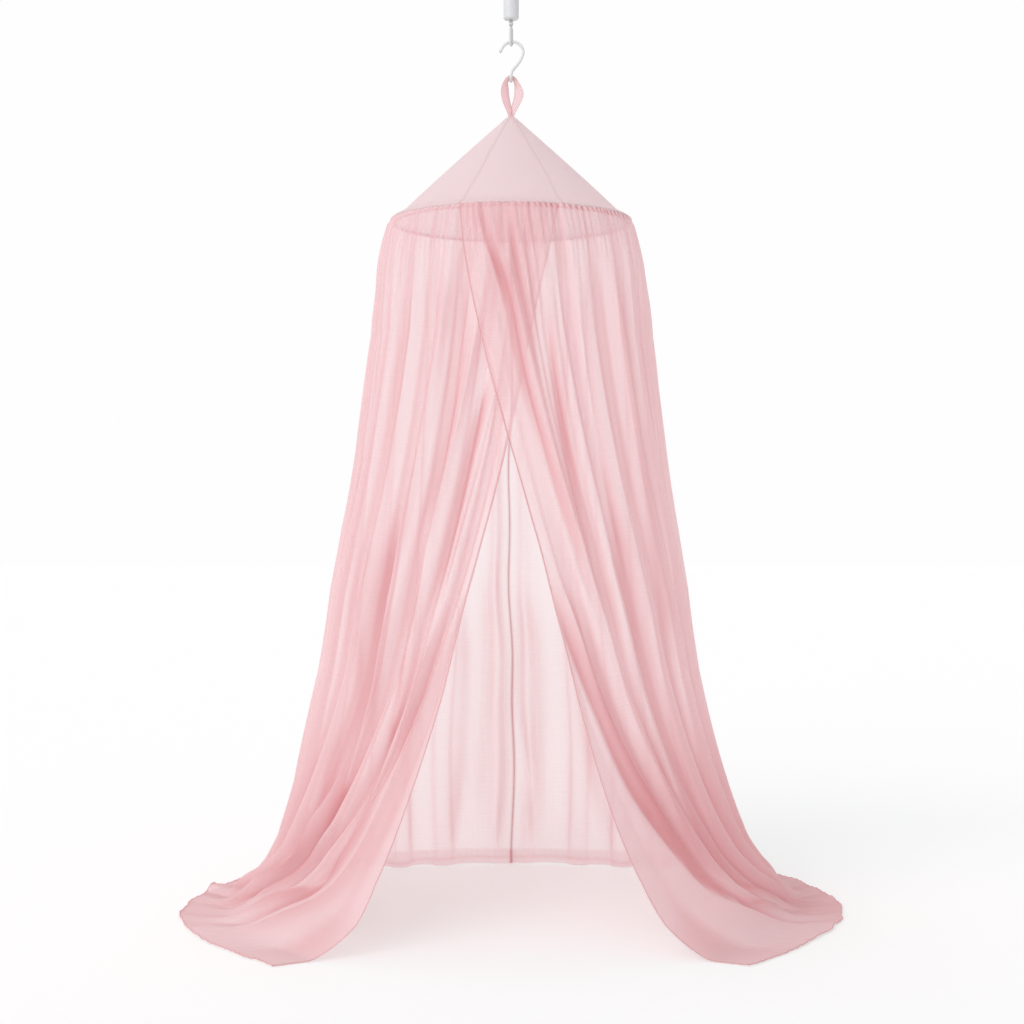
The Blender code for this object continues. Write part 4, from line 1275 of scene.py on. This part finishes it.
# %% Hook and eye
HOOK_WIRE = 0.008
HOOK_ROUTE = (
    (-0.0277, 0, 2.1342), (-0.0240, 0, 2.1440), (-0.0165, 0, 2.1540), (-0.0070, 0, 2.1605),
    (0.0030, 0, 2.1620), (0.0130, 0, 2.1607), (0.0225, 0, 2.1545), (0.0290, 0, 2.1448),
    (0.0305, 0, 2.1340), (0.0270, 0, 2.1220), (0.0195, -0.0020, 2.1080),
    (0.0105, -0.0060, 2.0960), (0.0030, -0.0100, 2.0850), (0, -0.0120, 2.0745),
)
HOOK_BEND = 0.012
HOOK_STEPS = 72
BEND_STEPS = 20
STEM_FOOT = 2.2025
GAP = 0.0003
EYE_WIRE = 0.0066
EYE_TOP = STEM_FOOT - GAP
EYE_FOOT = 2.1502
EYE_WIDTH = 0.0230
EYE_TURN_DEG = 15
EYE_STEPS = 24
WIRE_ROUNDNESS = 6
TIP_TURNS_DEG = (0, 20, 40, 60, 75, 86)


def wire_piece(name, node, route, wire, material, closed=False):
    """A round wire through points in heights above the floor, as a mesh piece."""
    curve = bpy.data.curves.new(name, "CURVE")
    curve.dimensions = "3D"
    curve.bevel_depth = wire / 2
    curve.bevel_resolution = WIRE_ROUNDNESS
    line = curve.splines.new("POLY")
    line.points.add(len(route) - 1)
    for point, (x, y, height, thin) in zip(line.points, route):
        point.co = (x, y, height - HANG_HEIGHT, 1)
        point.radius = thin
    line.use_cyclic_u = closed
    shaped = bpy.data.objects.new(name + "_curve", curve)
    bpy.context.scene.collection.objects.link(shaped)
    mesh = bpy.data.meshes.new_from_object(shaped.evaluated_get(bpy.context.evaluated_depsgraph_get()))
    bpy.data.objects.remove(shaped, do_unlink=True)
    cleaned = bmesh.new()
    cleaned.from_mesh(mesh)
    bmesh.ops.remove_doubles(cleaned, verts=cleaned.verts, dist=MERGE_WITHIN)
    bmesh.ops.recalc_face_normals(cleaned, faces=cleaned.faces)
    cleaned.to_mesh(mesh)
    cleaned.free()
    piece = placed_piece(name, mesh, material)
    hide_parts(node)
    return piece


def rounded_ends(points, wire):
    """The route with its ends drawn in over a quarter circle, so that the tips are round."""
    points = np.array(points, float)
    tips = []
    for end, inner in ((points[0], points[1]), (points[-1], points[-2])):
        away = (end - inner) / np.linalg.norm(end - inner)
        cap = []
        for turn in map(math.radians, TIP_TURNS_DEG):
            cap.append((*(end - away * wire / 2 * (1 - math.sin(turn))), math.cos(turn)))
        tips.append(cap)
    middle = [(*point, 1.0) for point in points[1:-1]]
    return tips[0][::-1] + middle + tips[1]


def hook_route():
    knots = np.linspace(0, 1, len(HOOK_ROUTE))
    route = (spline_weights(knots, np.linspace(0, 1, HOOK_STEPS)) @ np.array(HOOK_ROUTE)).tolist()
    x, _, height = HOOK_ROUTE[-1]
    for step in range(1, BEND_STEPS + 1):
        turn = math.pi * step / BEND_STEPS
        route.append((x, -HOOK_BEND * math.cos(turn), height - HOOK_BEND * math.sin(turn)))
    route.append((x, HOOK_BEND, height + HOOK_WIRE / 2))
    return rounded_ends(route, HOOK_WIRE)


def eye_route():
    reach = (EYE_WIDTH - EYE_WIRE) / 2
    top = EYE_TOP - EYE_WIRE / 2 - reach
    foot = EYE_FOOT + EYE_WIRE / 2 + reach
    turned_by = math.radians(EYE_TURN_DEG)
    route = []
    for middle, start in ((top, 0), (foot, math.pi)):
        for step in range(EYE_STEPS + 1):
            turn = start + math.pi * step / EYE_STEPS
            aside = reach * math.cos(turn)
            height = middle + reach * math.sin(turn)
            route.append((aside * math.sin(turned_by), aside * math.cos(turned_by), height, 1.0))
    return route


s_hook = wire_piece("hook_wire", "s_hook", hook_route(), HOOK_WIRE, white_coat)
swivel_eye = wire_piece("eye_ring", "swivel_eye", eye_route(), EYE_WIRE, white_plastic,
                        closed=True)
print("hook faces", len(s_hook.data.polygons), "eye faces", len(swivel_eye.data.polygons))

# %% [markdown]
# The barrel and its stem are turned pieces: a half profile is spun once round the middle. The
# hoop is spun too, from a small circle. A spin's first and last steps are merged into one.

# %% Hanger and hoop
BARREL_RADIUS = 0.0206
BARREL_TAPER = 0.0008
BARREL_FOOT = 2.218
BARREL_ROUND = 0.006
BARREL_EDGE = 0.0008
STEM_RADIUS = 0.0045
COLLAR_RADIUS = 0.0062
COLLAR_HEIGHT = 2.2075
COLLAR_HALF = 0.0022
COLLAR_EDGE = 0.001
HOOP_RADIUS = 0.2945
HOOP_ROD = 0.006
HOOP_HEIGHT = 1.698
EDGE_STEPS = 4
ROUND_STEPS = 10


def spun_piece(name, node, profile, material, steps, closed_profile=False):
    """A piece turned from a profile of (radius, height above the floor)."""
    turned = bmesh.new()
    verts = [turned.verts.new((radius, 0, height - HANG_HEIGHT)) for radius, height in profile]
    edges = [turned.edges.new(pair) for pair in zip(verts, verts[1:])]
    if closed_profile:
        edges.append(turned.edges.new((verts[-1], verts[0])))
    bmesh.ops.spin(turned, geom=verts + edges, cent=(0, 0, 0), axis=(0, 0, 1), angle=2 * math.pi,
                   steps=steps, use_merge=True)
    bmesh.ops.remove_doubles(turned, verts=turned.verts, dist=MERGE_WITHIN / 2)
    bmesh.ops.recalc_face_normals(turned, faces=turned.faces)
    mesh = bpy.data.meshes.new(name)
    turned.to_mesh(mesh)
    turned.free()
    piece = placed_piece(name, mesh, material)
    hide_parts(node)
    return piece


def arc(centre_radius, centre_height, radius, start_deg, end_deg, steps):
    turns = np.radians(np.linspace(start_deg, end_deg, steps + 1))
    return [(centre_radius + radius * math.cos(t), centre_height + radius * math.sin(t)) for t in turns]


def upper_edge(radius, height, rounding, steps=EDGE_STEPS):
    return arc(radius - rounding, height - rounding, rounding, start_deg=90, end_deg=0, steps=steps)


def lower_edge(radius, height, rounding, steps=EDGE_STEPS):
    return arc(radius - rounding, height + rounding, rounding, start_deg=0, end_deg=-90, steps=steps)


barrel_profile = [
    (0, HANG_HEIGHT),
    *upper_edge(BARREL_RADIUS, HANG_HEIGHT, BARREL_EDGE),
    *lower_edge(BARREL_RADIUS - BARREL_TAPER, BARREL_FOOT, BARREL_ROUND, ROUND_STEPS),
    (0, BARREL_FOOT),
]
stem_profile = [
    (0, BARREL_FOOT - GAP),
    (STEM_RADIUS, BARREL_FOOT - GAP),
    (STEM_RADIUS, COLLAR_HEIGHT + COLLAR_HALF),
    *upper_edge(COLLAR_RADIUS, COLLAR_HEIGHT + COLLAR_HALF, COLLAR_EDGE),
    *lower_edge(COLLAR_RADIUS, COLLAR_HEIGHT - COLLAR_HALF, COLLAR_EDGE),
    (STEM_RADIUS, COLLAR_HEIGHT - COLLAR_HALF),
    (STEM_RADIUS, STEM_FOOT),
    (0, STEM_FOOT),
]
hoop_profile = arc(HOOP_RADIUS, HOOP_HEIGHT, HOOP_ROD / 2, start_deg=0, end_deg=360, steps=16)[:-1]
ceiling_barrel = spun_piece("barrel", "ceiling_barrel", barrel_profile, white_plastic,
                            steps=96)
swivel_stem = spun_piece("stem", "swivel_stem", stem_profile, white_plastic, steps=64)
hoop = spun_piece("hoop_ring", "hoop", hoop_profile, hoop_finish, steps=256,
                  closed_profile=True)
print("barrel faces", len(ceiling_barrel.data.polygons))

# %% [markdown]
# Soft studio light: an even pale surround, a wide soft key light from the front left that gives
# the folds their shape, a weak fill, and a light from behind that makes the back wall glow. The
# camera sees the surround as plain white, while the cloth is lit by a dimmer one, or the folds
# would look flat. Sun lamps with a wide angle are as soft as large screens, and they light the
# floor evenly as far as the horizon. A lamp's row has the direction that its light comes from,
# its strength and its angle in degrees.

# %% Light
SURROUND_SEEN = 0.99
SURROUND_LIGHT = 0.92
SURROUND_SLANT = 0.20
SURROUND_DROP = 0.20
MOST_CLEAR_LAYERS = 32
LAMPS = (
    ("key", (-0.56, -0.70, 0.44), 1.15, 50),
    ("fill", (0.75, -0.70, 0.20), 0.10, 80),
    ("back", (-0.10, 0.92, 0.38), 0.60, 80),
)


def build_surround():
    world = bpy.data.worlds.new("studio surround")
    world.use_nodes = True
    tree = world.node_tree
    tree.nodes.clear()
    ray = tree.nodes.new("ShaderNodeLightPath")
    direction = tree.nodes.new("ShaderNodeTexCoord")
    place = add_node(tree, "ShaderNodeSeparateXYZ", Vector=direction.outputs["Generated"])
    slant = calculate(tree, "MULTIPLY", place.outputs["X"], -SURROUND_SLANT)
    drop = calculate(tree, "MULTIPLY", calculate(tree, "MAXIMUM", place.outputs["Z"], 0.0), -SURROUND_DROP)
    light = calculate(tree, "ADD", calculate(tree, "ADD", slant, drop), SURROUND_LIGHT)
    strength = add_node(tree, "ShaderNodeMix", Factor=ray.outputs["Is Camera Ray"], A=light,
                        B=SURROUND_SEEN).outputs[0]
    shown = add_node(tree, "ShaderNodeBackground", Color=(1, 1, 1, 1), Strength=strength)
    out = tree.nodes.new("ShaderNodeOutputWorld")
    tree.links.new(shown.outputs[0], out.inputs["Surface"])
    bpy.context.scene.world = world


def soft_sun(name, towards, strength, angle_deg):
    """A sun lamp whose light comes from the given direction."""
    lamp = bpy.data.lights.new(name, "SUN")
    lamp.energy = strength
    lamp.angle = math.radians(angle_deg)
    holder = bpy.data.objects.new(name, lamp)
    bpy.context.scene.collection.objects.link(holder)
    x, y, z = towards
    holder.rotation_euler = (math.acos(z / math.hypot(x, y, z)), 0, math.atan2(y, x) + math.pi / 2)
    return holder


build_surround()
for lamp_name, towards, strength, angle in LAMPS:
    soft_sun(lamp_name, towards, strength, angle)
scene = bpy.context.scene
scene.view_settings.view_transform = "Standard"
scene.view_settings.look = "None"
scene.cycles.transparent_max_bounces = MOST_CLEAR_LAYERS
print("lamps", len(LAMPS))

# %% [markdown]
# The floor is a plain pale plane and belongs to the stage. A floor that only reflected would be
# darker than the surround and show a horizon, so the rest of its brightness is its own glow, and
# the canopy's soft shadow still shows on it. The light that falls on it comes from the lamps and
# from the surround, whose mean height, weighted by how steeply it shines down, is two thirds.

# %% Floor
FLOOR_SIZE = 60
FLOOR_ROUGHNESS = 0.9
MEAN_HEIGHT = 2 / 3
FLOOR_ALBEDO = (0.86, 0.70, 0.72)
FLOOR_LIGHT = SURROUND_LIGHT - SURROUND_DROP * MEAN_HEIGHT + sum(
    strength * towards[2] / math.hypot(*towards) / math.pi for _, towards, strength, _ in LAMPS
)
FLOOR_GLOW = [SURROUND_SEEN - albedo * FLOOR_LIGHT for albedo in FLOOR_ALBEDO]


def build_floor():
    material, tree = new_material("pale floor")
    surface = add_node(
        tree, "ShaderNodeBsdfPrincipled", Base_Color=(*FLOOR_ALBEDO, 1), Roughness=FLOOR_ROUGHNESS,
        Specular_IOR_Level=0.0, Emission_Color=(*FLOOR_GLOW, 1), Emission_Strength=1.0,
    )
    show_surface(tree, surface)
    flat = bmesh.new()
    bmesh.ops.create_grid(flat, x_segments=1, y_segments=1, size=FLOOR_SIZE / 2)
    bmesh.ops.translate(flat, verts=flat.verts, vec=(0, 0, -HANG_HEIGHT))
    mesh = bpy.data.meshes.new("floor")
    flat.to_mesh(mesh)
    flat.free()
    mesh.materials.append(material)
    floor = bpy.data.objects.new("floor", mesh)
    bpy.context.scene.collection.objects.link(floor)
    return floor


floor = build_floor()
print("floor glow", [round(glow, 3) for glow in FLOOR_GLOW])
